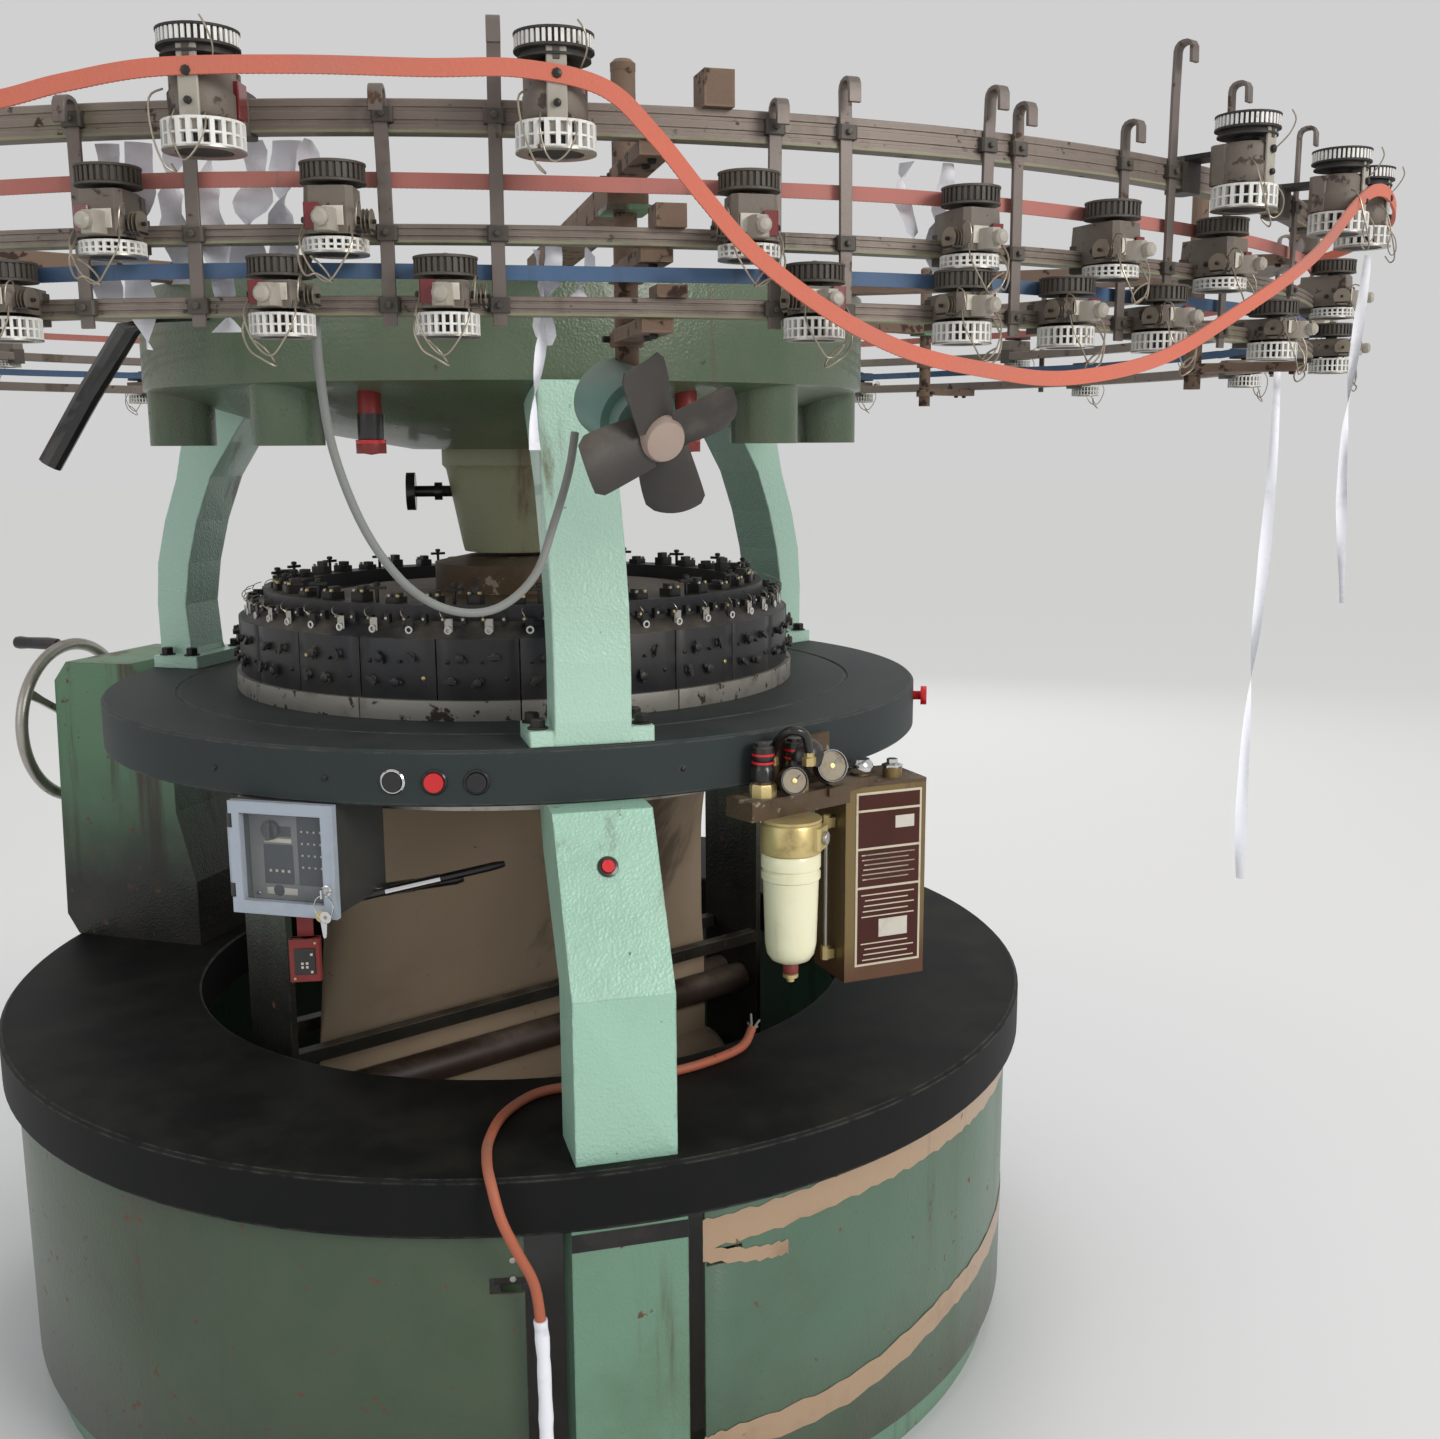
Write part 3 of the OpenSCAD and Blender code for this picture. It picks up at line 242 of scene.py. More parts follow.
material("rodTan", (114, 104, 98), 0.48, metal=0.4, alt=(92, 82, 74, 20), spots=(84, 62, 44, 0.3),
         dusty=0.3)
material("housing", (108, 98, 88), 0.55, alt=(80, 71, 63, 18), edges=(150, 138, 122, 0.6, 0.002),
         spots=(60, 50, 42, 0.35), dusty=0.65, depth=0.4)
material("housingDark", (66, 60, 54), 0.55, alt=(92, 84, 74, 22), dusty=0.7, depth=0.4)
material("frosted", (186, 178, 164), 0.4, alt=(150, 140, 124, 30), dusty=0.5, glass=0.25)
material("wheelWhite", (226, 224, 218), 0.42, alt=(186, 180, 168, 40), spots=(120, 108, 92, 0.18),
         dusty=0.25, bump=None)
material("wheelDark", (28, 27, 26), 0.6, alt=(60, 54, 47, 30), dusty=0.4, bump=None)
material("redLens", (112, 18, 24), 0.22, alt=(84, 14, 18, 30), dusty=0.3, coat=0.4, bump=None)
material("sticker", (206, 200, 186), 0.6, alt=(170, 160, 142, 26), dusty=0.3, bump=None)
material("beltOrange", (204, 110, 88), 0.8, alt=(172, 116, 104, 2.2, 0.6), dusty=0.6,
         dustTint=(168, 126, 116), depth=0.7)
material("beltPink", (176, 108, 98), 0.7, alt=(164, 118, 108, 5), streaks=(150, 104, 94, 60), dusty=0.7,
         dustTint=(170, 146, 130))
material("beltBlue", (64, 94, 128), 0.6, alt=(76, 102, 124, 5), streaks=(58, 78, 104, 60), dusty=0.6)
material("clothTan", (160, 140, 116), 0.95, alt=(142, 122, 100, 3), streaks=(104, 88, 70, 6, 0.4),
         spots=(92, 78, 62, 0.12), dusty=0.3, bumpScale=700, depth=0.7)
material("roller", (52, 36, 28), 0.5, alt=(40, 28, 22, 8), spots=(90, 66, 48, 0.2), dusty=0.5)
material("tankGold", (124, 104, 62), 0.36, metal=0.45, alt=(100, 80, 46, 7), streaks=(70, 48, 30, 10, 0.45),
         edges=(70, 48, 32, 0.8), low=(96, 60, 36, 0.74, 0.86), dusty=0.4, coat=0.2)
material("oilGrime", (84, 66, 46), 0.45, metal=0.3, alt=(50, 38, 28, 22), spots=(150, 138, 120, 0.3),
         dusty=0.6, depth=0.7)
material("plateBrown", (70, 30, 22), 0.5, alt=(58, 28, 20, 20), dusty=0.12, coat=0.08, shine=0.2, bump=None)
material("gaugeFace", (146, 134, 112), 0.5, alt=(96, 80, 58, 60, 0.6), dusty=0.3, bump=None)
material("paleLine", (206, 196, 172), 0.5, alt=(180, 164, 134, 30), bump=None)
material("bowlCream", (248, 244, 208), 0.32, alt=(230, 222, 176, 9), streaks=(150, 124, 66, 18, 0.25),
         spots=(120, 92, 48, 0.1), glass=0.12, coat=0.3, depth=0.2)
material("redPlastic", (206, 22, 30), 0.28, alt=(170, 18, 24, 20), coat=0.4, bump=None)
material("redDull", (126, 32, 30), 0.45, alt=(92, 28, 26, 30), dusty=0.4, bump=None)
material("blackPlastic", (20, 20, 22), 0.3, alt=(34, 32, 31, 30), dusty=0.25, coat=0.2, bump=None)
material("boxGrey", (166, 176, 188), 0.4, alt=(150, 156, 162, 8), edges=(150, 132, 104, 0.7),
         streaks=(150, 138, 116, 14, 0.25), dusty=0.3)
material("boxDark", (42, 43, 41), 0.5, alt=(54, 52, 48, 10), dusty=0.4)
material("panelGrey", (116, 116, 114), 0.55, alt=(92, 90, 86, 14), dusty=0.3, bump=None)
material("panelDark", (30, 34, 42), 0.4, alt=(56, 58, 64, 20), bump=None)
material("clearPane", (190, 198, 200), 0.08, alpha=0.07, coat=0.3, shine=0.3, bump=None)
material("turquoise", (96, 134, 124), 0.45, alt=(120, 126, 108, 12), dusty=0.7)
material("blade", (56, 53, 50), 0.5, metal=0.15, alt=(110, 98, 88, 10), dusty=0.55)
material("hubTan", (164, 144, 132), 0.6, alt=(132, 112, 98, 26), dusty=0.4)
material("cableOrange", (172, 92, 64), 0.55, alt=(150, 92, 72, 14), spots=(96, 66, 50, 0.2), dusty=0.3,
         bump=None)
material("cableGrey", (126, 128, 124), 0.55, alt=(104, 102, 96, 12), dusty=0.4, bump=None)
material("tapeBrown", (166, 138, 110), 0.34, alt=(140, 112, 86, 8), streaks=(120, 98, 76),
         spots=(90, 70, 54, 0.15), bumpScale=90, depth=0.9, coat=0.2)
material("whiteStrip", (236, 236, 241), 0.8, alt=(196, 194, 196, 20), depth=0.5)
material("wireSteel", (164, 154, 138), 0.35, metal=0.8, alt=(128, 114, 96, 30), dusty=0.3, bump=None)
print("materials made")

nodeLook = {
    "greenDoor": "drum_back door_right", "greenDoorPaintedShade": "door_left", "greenPostPaintedLight": "floor_frame",
    "greenLegPaintedLight": "lower_legs", "greenUprightPaintedLight": "upper_legs", "greenDark": "drive_housing takedown_frame",
    "greenCrown": "crown", "paleGreen": "dial_housing", "blackRing": "lower_ring", "tableDark": "table",
    "camBlack": "cam_boxes dial_ring cam_knobs", "greyBand": "cam_base",
    "steel": "handwheel needle_cylinder", "blackMetal": "latch_left latch_right",
    "oilGrime": "dial_disc oil_unit", "ringTube": "feeder_rings", "rustPost": "ring_carrier",
    "rodTan": "feeder_rods", "housing": "feeder_units", "beltPink": "ring_belts",
    "wheelWhite": "feed_wheels spindle_1 spindle_2 spindle_3 spindle_4 spindle_5",
    "beltOrange": "belt_slack",
    "blackPlastic": "box_selector button_start button_jog dial_knob crown_pipe regulator_a regulator_b",
    "boxDark": "control_box", "boxGrey": "box_door", "clearPane": "box_window", "chrome": "box_key",
    "redPlastic": "button_stop stop_mushroom leg_button", "redDull": "small_fittings drain_valve",
    "tankGold": "oil_tank", "bowlCream": "filter_bowl", "turquoise": "fan_motor", "blade": "fan_rotor",
    "roller": "roller_front roller_rear", "clothTan": "cloth_roll cloth_tube",
    "cableOrange": "orange_cable", "cableGrey": "grey_cable",
}
# millimetres of rounding where it isn't 1
softEdges = {"lower_legs": 5.0, "upper_legs": 4.0, "crown": 3.0, "drive_housing": 6.0, "floor_frame": 2.0,
             "oil_tank": 4.0, "oil_unit": 2.5, "control_box": 1.5, "box_door": 2.0, "cam_boxes": 0.8,
             "cam_base": 0.8}
unrounded = "lower_ring table needle_cylinder dial_disc dial_ring box_window orange_cable grey_cable".split()


def soften(obj, width, segments, angle):
    bevel = obj.modifiers.new("softEdge", "BEVEL")
    bevel.width = width / 1000
    bevel.segments = segments
    bevel.limit_method = "ANGLE"
    bevel.angle_limit = radians(angle)


for look, names in nodeLook.items():
    for name in names.split():
        obj = nodes[name]
        obj.data.materials.clear()
        obj.data.materials.append(looks[look])
        if name not in unrounded:
            width = softEdges.get(name, 1.0)
            obj.modifiers.new("join", "WELD").merge_threshold = 0.00002
            soften(obj, width, 3 if width > 2 else 2, 40)
print("frame nodes dressed")


def turn(axis, angle):
    return Matrix.Rotation(radians(angle), 4, axis)


def shift(x, y, z):
    return Matrix.Translation((x, y, z))


def onRing(a, r, z=0.0):
    return turn("Z", a) @ shift(r, 0, z)


def polar(a, r, z):
    return Vector((r * cos(radians(a)), r * sin(radians(a)), z))


def points(*rows):
    return [Vector(row) for row in rows]


def around(count):
    return [2 * pi * k / count for k in range(count)]


def spline(line, steps):
    made, last = [], len(line) - 1
    for i in range(last):
        a, b, c, d = line[max(i - 1, 0)], line[i], line[i + 1], line[min(i + 2, last)]
        for t in [k / steps for k in range(steps)]:
            curved = (2 * a - 5 * b + 4 * c - d) * t * t + (3 * b - a - 3 * c + d) * t ** 3
            made.append(0.5 * (2 * b + (c - a) * t + curved))
    return made + [line[-1]]


def directions(line, closed):
    count = len(line)
    for i, p in enumerate(line):
        ahead = line[(i + 1) % count] if closed or i < count - 1 else p
        behind = line[i - 1] if closed or i > 0 else p
        yield i, p, (ahead - behind).normalized()


def gridFaces(rows, cols, base=0, closed=False, looped=False, flip=False):
    faces = []
    for i in range(rows if looped else rows - 1):
        near, far = base + i * cols, base + (i + 1) % rows * cols
        for j in range(cols if closed else cols - 1):
            k = (j + 1) % cols
            face = [near + j, near + k, far + k, far + j]
            faces.append([face[0], *face[:0:-1]] if flip else face)
    return faces


def addObject(name, data):
    obj = bpy.data.objects.new(name, data)
    bpy.context.scene.collection.objects.link(obj)
    return obj


still = Matrix()


class Shape:
    def __init__(self, name, look):
        self.name, self.look = name, look
        self.verts, self.faces, self.slots = [], [], []

    def add(self, verts, faces, m=still, slot=0):
        base = len(self.verts)
        self.verts += [m @ Vector(v) for v in verts]
        self.faces += [[base + i for i in face] for face in faces]
        self.slots += [slot] * len(faces)

    def prism(self, outline, depth, m=still, slot=0, top=1.0):
        n = len(outline)
        cx, cy = (sum(p[axis] for p in outline) / n for axis in (0, 1))
        upper = [(cx + (x - cx) * top, cy + (y - cy) * top, depth) for x, y in outline]
        faces = gridFaces(2, n, closed=True) + [list(range(n - 1, -1, -1)), list(range(n, 2 * n))]
        self.add([(x, y, 0) for x, y in outline] + upper, faces, m, slot)

    def block(self, x0, x1, y0, y1, z0, z1, m=still, slot=0, cut=0.0):
        c = min(cut, (x1 - x0) / 2.2, (y1 - y0) / 2.2)
        outline = [(x0, y0), (x1, y0), (x1, y1), (x0, y1)]
        if c:
            outline = [(x0 + c, y0), (x1 - c, y0), (x1, y0 + c), (x1, y1 - c), (x1 - c, y1), (x0 + c, y1),
                       (x0, y1 - c), (x0, y0 + c)]
        self.prism(outline, z1 - z0, m @ shift(0, 0, z0), slot)

    def lathe(self, profile, m=still, slot=0, n=24, closed=False):
        k = len(profile)
        verts = [(r * cos(t), r * sin(t), z) for t in around(n) for r, z in profile]
        faces = gridFaces(n, k, closed=closed, looped=True, flip=True)
        for j, order in () if closed else ((0, -1), (k - 1, 1)):
            if profile[j][0] > 1e-6:
                faces.append([i * k + j for i in range(n)][::order])
        self.add(verts, faces, m, slot)

    def stud(self, r, high, endR, end, m, slot=0, n=6):
        self.lathe([(r, 0), (r, high), (endR, end)], m, slot, n)

    def ring(self, inner, outer, low, high, m=still, slot=0, n=24):
        self.lathe([(inner, low), (outer, low), (outer, high), (inner, high)], m, slot, n, True)

    def tube(self, line, radius, m=still, slot=0, n=8, closed=False):
        verts, side, last = [], None, (len(line) - 1) * n
        for i, p, t in directions(line, closed):
            side = t.orthogonal().normalized() if side is None else side
            side = (side - t * side.dot(t)).normalized()
            other = t.cross(side)
            r = radius[i] if isinstance(radius, list) else radius
            verts += [p + (side * cos(turned) + other * sin(turned)) * r for turned in around(n)]
        faces = gridFaces(len(line), n, closed=True, looped=closed)
        if not closed:
            faces += [list(range(n - 1, -1, -1)), list(range(last, last + n))]
        self.add(verts, faces, m, slot)

    def strip(self, line, outs, width, thick, m=still, slot=0, closed=False, tooth=0.0):
        verts, last = [], (len(line) - 1) * 4
        for i, p, t in directions(line, closed):
            out = (outs[i] - t * outs[i].dot(t)).normalized()
            wide = t.cross(out) * width / 2
            upper, lower = out * thick / 2, out * (thick / 2 + (tooth if i % 2 else 0.0))
            verts += [p + upper - wide, p + upper + wide, p - lower + wide, p - lower - wide]
        faces = gridFaces(len(line), 4, closed=True, looped=closed, flip=True)
        if not closed:
            faces += [[0, 1, 2, 3], [last + k for k in (3, 2, 1, 0)]]
        self.add(verts, faces, m, slot)

    def build(self, body="frame", stands=None, slot=None, bevel=0.0, angle=38):
        mesh = bpy.data.meshes.new(self.name)
        mesh.from_pydata([v / 1000 for v in self.verts], [], self.faces)
        for look in self.look.split():
            mesh.materials.append(looks[look])
        mesh.polygons.foreach_set("material_index", self.slots)
        mesh.shade_smooth()
        mesh.set_sharp_from_angle(angle=radians(angle))
        obj = addObject(self.name, mesh)
        if bevel:
            soften(obj, bevel, 1, 50)
        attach(obj, body)
        if stands:
            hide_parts(stands)
        return obj


# cords
cordSettings = {
    "orange": {"thick": 15, "path": points(
        (30, -948, 126), (24, -948, 160), (8, -948, 220), (6, -948, 310), (4, -948, 400), (-4, -952, 480),
        (-26, -966, 540), (-46, -968, 590), (-58, -950, 632), (-64, -905, 643), (-62, -830, 640),
        (-40, -745, 639), (10, -680, 639), (85, -660, 639), (170, -645, 639), (255, -614, 639),
        (335, -556, 640), (362, -508, 652))},
    "grey": {"thick": 9, "path": points(
        (-184, -1326, 1726), (-184, -1322, 1680), (-176, -1308, 1600), (-150, -1290, 1520),
        (-112, -1270, 1462), (-68, -1250, 1434), (-22, -1230, 1434), (18, -1214, 1466), (40, -1202, 1520),
        (58, -1190, 1576), (66, -1183, 1618))},
}


def cordPiece(name, settings, look, stands):
    line, thick = spline(settings["path"], 6), settings["thick"] / 1000
    curve = bpy.data.curves.new(name, "CURVE")
    curve.dimensions = "3D"
    curve.bevel_depth = thick / 2
    curve.bevel_resolution = 4
    curve.use_fill_caps = True
    run = curve.splines.new("POLY")
    run.points.add(len(line) - 1)
    for point, place in zip(run.points, line):
        point.co = (*(place / 1000), 1)
    run.use_smooth = True
    curve.materials.append(looks[look])
    obj = addObject(name, curve)
    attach(obj, "frame")
    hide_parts(stands)


orangeLine = spline(cordSettings["orange"]["path"], 6)
sleeve = Shape("cableSleeve", "whiteStrip")
covered = [p for p in orangeLine if 170 < p.z < 430 and p.y < -900]
folds = [9.2 + 1.6 * sin(i * 1.7) * (i % 3) / 3 + 0.8 for i in range(len(covered))]
sleeve.tube(covered, folds, n=12)
sleeveObj = sleeve.build(slot="cable_orange")
relief = Shape("cableRelief", "blackPlastic blackMetal")
relief.lathe([(13, 0), (13, 6), (11, 8), (11, 14), (9.2, 30), (8.4, 44)], shift(30, -948, 112), 0, 18)
relief.block(6, 54, -957.5, -929, 64, 113, still, 1, 2)
relief.build()
frayed = Shape("cableEnd", "cableGrey oldBrass rustPost")
tip = orangeLine[-1]
out = (tip - orangeLine[-3]).normalized()
for k in range(4):
    spread = out.orthogonal().normalized()
    spread.rotate(Matrix.Rotation(radians(90 * k + 20), 3, out))
    strand = [tip + out * far + spread * wide for far, wide in ((-12, 3), (8, 5), (22, 9 + 2 * k))]
    frayed.tube(strand, 2.0, still, k % 3, 6)
frayedObj = frayed.build()
cordPiece("orangeCable", cordSettings["orange"], "cableOrange", "orange_cable")
cordPiece("greyCable", cordSettings["grey"], "cableGrey", "grey_cable")
print("cords laid")

# rings and belts
rings = {"r": 1350, "half": 11, "levels": ((1726, 1744), (1792, 1809), (1890, 1920)), "around": 240,
         "grooves": ((0, 0.24), (1.6, 0.27), (1.6, 0.36), (0, 0.39), (0, 0.62), (1.6, 0.65), (1.6, 0.74),
                     (0, 0.77))}
ringShape = Shape("ringTubes", "ringTube ringTubeGreen")
near, far = rings["r"] - rings["half"], rings["r"] + rings["half"]
for low, high in rings["levels"]:
    grooves = [(far - dip, low + (high - low) * part) for dip, part in rings["grooves"]]
    outer = [(far - 1, low), (far, low + 1), *grooves, (far, high - 1), (far - 1, high)]
    inner = [(near + 1, high), (near, high - 1), (near, low + 1), (near + 1, low)]
    lip = [(far + 0.3, low + 0.2), (far + 0.3, low + 2.4), (far - 2, low + 2.4), (far - 2, low - 0.3)]
    for slot, profile in enumerate((outer + inner, lip)):
        ringShape.lathe(profile, still, slot, rings["around"], True)
ringShape.build(stands="feeder_rings", slot="ring_tube")


def outwardOf(line):
    return [Vector((p.x, p.y, 0)).normalized() for p in line]


beltSettings = {"pitch": 5.0, "r": 1354, "width": 14, "thick": 2.2, "tooth": 1.4,
                "levels": (("beltLow", 1767, "beltBlue"), ("beltMid", 1849, "beltPink"))}
for name, z, look in beltSettings["levels"]:
    count = int(2 * pi * 1353.5 / beltSettings["pitch"]) * 2
    belt = Shape(name, look)
    line = [polar(-360 * i / count, beltSettings["r"], z + 1.2 * sin(i * 0.021)) for i in range(count)]
    belt.strip(line, outwardOf(line), beltSettings["width"], beltSettings["thick"], closed=True,
               tooth=beltSettings["tooth"])
    belt.build(stands="ring_belts", slot="belt")

slackSettings = {"width": 15, "thick": 2.4, "tooth": 1.6, "step": 2.5, "rows": (
    (-37, 1461, 1925), (-43.5, 1462, 1905), (-50, 1456, 1816), (-56.5, 1448, 1744), (-61.5, 1440, 1692),
    (-66.9, 1436, 1670), (-71.1, 1436, 1677), (-74.8, 1438, 1694), (-78.2, 1442, 1730), (-81.1, 1446, 1778),
    (-83, 1450, 1825), (-84.8, 1454, 1875), (-86.6, 1460, 1912), (-89.4, 1462, 1925), (-92.6, 1462, 1924),
    (-97.1, 1462, 1926), (-101.7, 1462, 1925), (-105, 1460, 1915), (-108.2, 1460, 1902), (-113, 1461, 1908),
    (-122, 1462, 1925), (-133, 1461, 1924), (-145, 1461, 1927), (-158, 1461, 1927), (-171, 1461, 1924),
    (-184, 1462, 1925), (-197, 1461, 1924), (-210, 1461, 1927), (-222, 1461, 1924), (-232, 1462, 1925),
    (-244, 1461, 1924), (-256, 1461, 1927), (-268, 1461, 1927), (-280, 1461, 1924), (-290, 1462, 1925),
    (-302, 1461, 1924), (-314, 1461, 1926), (-326, 1461, 1926), (-338, 1461, 1924), (-348, 1462, 1925),
    (-360, 1461, 1924), (-372, 1461, 1926), (-385, 1461, 1928))}
wrapped = [polar(*row) for row in slackSettings["rows"]]
dense = spline(wrapped[-2:] + wrapped + wrapped[:2], 24)[48:-25]
evenLine, carried, step = [dense[0]], 0.0, slackSettings["step"]
for a, b in zip(dense, dense[1:] + dense[:1]):
    span = (b - a).length
    while carried + span >= step:
        a = a + (b - a) * ((step - carried) / span)
        span = (b - a).length
        carried = 0.0
        evenLine.append(a.copy())
    carried += span
if len(evenLine) % 2:
    evenLine.pop()
slackBelt = Shape("beltSlack", "beltOrange")
slackBelt.strip(evenLine, outwardOf(evenLine), slackSettings["width"], slackSettings["thick"], closed=True,
                tooth=slackSettings["tooth"])
slackBelt.build(stands="belt_slack", slot="belt_orange")
print("rings and belts made")

# rods, as angle and height of the top
rodSettings = {"r": 1361, "width": 13, "thick": 4.4, "clamps": (1735, 1800, 1905), "rows": (
    (-107, 1925), (-102.3, 1975), (-94.7, 1930), (-90.4, 1990), (-79.1, 1930), (-75.9, 1955), (-68.9, 1962),
    (-67.2, 1950), (-60.4, 1950), (-56.8, 2045), (-51.4, 2020), (-41.5, 2005), (-10, 1960), (27, 1990),
    (74.5, 1950), (110, 2000), (151, 1960), (-170, 1990), (-135, 1960))}
rodShape = Shape("feederRods", "rodTan housingDark")
outs = points(*[(-1, 0, 0.001)] * 4, (-0.88, 0, 0.47), (-0.54, 0, 0.84), (0, 0, 1), (0, 0, 1),
              (0.7, 0, 0.7), (0.95, 0, 0.2), (1, 0, 0.001))
for i, (a, top) in enumerate(rodSettings["rows"]):
    lean, m = 2.5 * sin(i * 2.3), onRing(a, rodSettings["r"])
    hook = [(2.5 + 9 * (1 - cos(t)), lean, top - 12 + 9 * sin(t)) for t in (0.5, 1.0, 1.57)]
    line = points((2.5, 0, 1716), (2.5, 0, 1800), (2.5, lean * 0.4, top - 60), (2.5, lean, top - 12), *hook,
                  (17, lean, top - 3), (20.5, lean, top - 4.5), (23, lean, top - 9), (23.5, lean, top - 26))
    rodShape.strip(line, outs, rodSettings["width"], rodSettings["thick"], m)
    for z in rodSettings["clamps"]:
        rodShape.block(-3, 8, -10, 10, z - 7, z + 7, m, 1, 2)
        rodShape.stud(3.4, 3, 2.4, 4, m @ shift(8, 0, z) @ turn("Y", 90), 1)
rodShape.build(stands="feeder_rods", slot="ring_tube", bevel=0.5)
print("rods made")


# feeder units
def cageWheel(shape, m, r, low, high, bars):
    core, mid, half = r * 0.82, (low + high) / 2, r * 1.25 / bars
    shape.lathe([(0, low + 1), (core, low + 1), (core, high - 1), (0, high - 1)], m, 1, 16)
    for z0, z1 in ((high - 2.4, high), (mid - 0.9, mid + 0.9), (low + 1.6, low + 3.4)):
        shape.ring(r * 0.8, r - 0.4, z0, z1, m)
    shape.ring(r * 0.7, r + 0.3, low, low + 1.6, m, 2, 28)
    for k in range(bars):
        shape.block(core, r, -half, half, low + 1.6, high - 0.5, m @ turn("Z", 360 * k / bars))


def beltPulley(shape, m, r, low, high, ribs, ribSlot, slot):
    shape.lathe([(0, low), (r, low), (r, low + 2), (r - 3, low + 3), (r - 3, high - 3), (r, high - 2),
                 (r, high), (r - 2, high + 0.6), (0, high + 0.6)], m, slot, 28)
    half = r * 1.6 / ribs
    for k in range(ribs):
        at = m @ turn("Z", 360 * k / ribs)
        shape.block(r - 4, r - 0.8, -half, half, low + 2.5, high - 2.5, at, ribSlot)
    shape.lathe([(5, high), (5, high + 3), (2, high + 4)], m, slot, 10)


def wires(shape, m, *guides):
    for radius, steps, rows in guides:
        shape.tube(spline(points(*rows), steps), radius, m, 6, 5)


unitSettings = {
    "low": {"az": [-109.9, -98.7, -92.4, -77.7, -70.7, -64.9, -58.5, -47, -28, -2, 22, 50, 78, 104, 130,
                   161, -176, -152, -130], "top": 1744, "up": 10, "belt": 16, "wheel": (-40, -18.6)},
    "mid": {"az": [-105.2, -96.5, -80.5, -70.4, -62.2, -53.5, -32, -14, 10, 31, 62, 90, 116, 144, 170, -164,
                   -141, -120], "top": 1809, "up": 27, "belt": 33, "wheel": (-31.5, -17.6)},
}
unitLooks = "housing housingDark redLens sticker frosted blackMetal wireSteel"
for name, row in unitSettings.items():
    bodies = Shape(name + "Units", unitLooks)
    wheels = Shape(name + "Wheels", "wheelWhite wheelDark steel housingDark")
    up, belt, (low, high) = row["up"], row["belt"], row["wheel"]
    for i, a in enumerate(row["az"]):
        m = onRing(a, 1385, row["top"]) @ turn("Z", 3 * sin(i * 5.1))
        s = 1 if -130 < a < -85 else -1
        bodies.prism([(-46, -13), (-30, -17), (-14, -22), (20, -24), (26, -18), (26, 18), (20, 24),
                      (-14, 22), (-30, 17), (-46, 13)], up + 15, m @ shift(0, 0, -15), 0, 0.93)
        bodies.block(-47, -22, -15, 15, -24, 7, m, 1, 3)
        bodies.lathe([(5, 0), (5, 6), (3, 7), (3, 12)], m @ shift(-22, 0, -20) @ turn("Y", 90), 5, 8)
        bodies.block(25.5, 28, -14 * s - 7, -14 * s + 7, -11, min(up, 12), m, 2, 1)
        bodies.block(25.6, 27, 6 * s - 10, 6 * s + 9, -8, min(up - 3, 9), m, 3, 1)
        bodies.prism([(24, -10), (38, -9), (44, -5), (44, 5), (38, 9), (24, 10)], 20, m @ shift(0, 0, -14),
                     4, 0.9)
        bodies.lathe([(0, 0), (6, 0), (7.5, 3), (7.5, 9), (5, 12), (0, 12.5)],
                     m @ shift(43, 0, -4) @ turn("Y", 90), 4, 14)
        for x, y in ((14, 24), (-6, 23), (14, -24), (-6, -23)):
            bodies.stud(3.2, 2.2, 1.6, 3, m @ shift(x, y, -2) @ turn("X", -90 if y > 0 else 90), 5)
        disc = m @ shift(16, 30 * s, -4) @ turn("X", -90 * s)
        bodies.block(8, 24, 24 if s > 0 else -40, 40 if s > 0 else -24, -13, -11, m, 5)
        for z in (0, 3.4, 7.5):
            bodies.lathe([(0, z), (10.5, z), (11.5, z + 1.1), (0, z + 1.1)], disc, 6, 16)
        bodies.lathe([(2, -6), (2, 12)], disc, 5, 8)
        wires(bodies, m,
              (1.0, 4, ((24, 20 * s, -8), (34, 24 * s, -24), (38, 14 * s, -44), (36, 0, -58),
                        (38, -14 * s, -46), (33, -24 * s, -22), (24, -21 * s, -6))),
              (1.1, 4, ((18, -24 * s, -14), (30, -27 * s, -34), (34, -20 * s, -52), (40, -8 * s, low - 20),
                        (36, 4 * s, low - 27), (30, 0, low - 20), (32, -8 * s, low - 10),
                        (40, -13 * s, low - 5))),
              (0.9, 3, ((22, 26 * s, 4), (30, 30 * s, 12), (40, 31 * s, 8), (42, 30 * s, -6),
                        (36, 29 * s, -10))))
        cageWheel(wheels, m, 30, low, high, 26)
        wheels.lathe([(8, up), (8, belt)], m, 3, 10)
        wheels.lathe([(11, high - 0.4), (11, -15.8)], m, 3, 14)
        beltPulley(wheels, m, 30, belt - 2, belt + 16, 30, 3, 3)
    bodies.build(stands="feeder_units", slot="ring_tube", bevel=0.4)
    wheels.build(stands="feed_wheels", slot="wheel_white")


def bigWheel(shape, m):
    shape.lathe([(0, 12.8), (12, 12.8), (14, 14), (14, 18), (0, 18)], m, 1, 16)
    shape.lathe([(0, 18), (33, 18), (33, 20), (30, 21), (30, 24), (33, 25), (33, 26.5), (0, 26.5)], m, 1, 28)
    beltPulley(shape, m, 36, 25, 41, 40, 0, 1)
    shape.lathe([(6.5, 41), (6.5, 44), (4, 45)], m, 2, 10)
    shape.lathe([(6, -34.6), (6, 18)], m, 2, 12)
    cageWheel(shape, m, 36, -60, -34.7, 22)


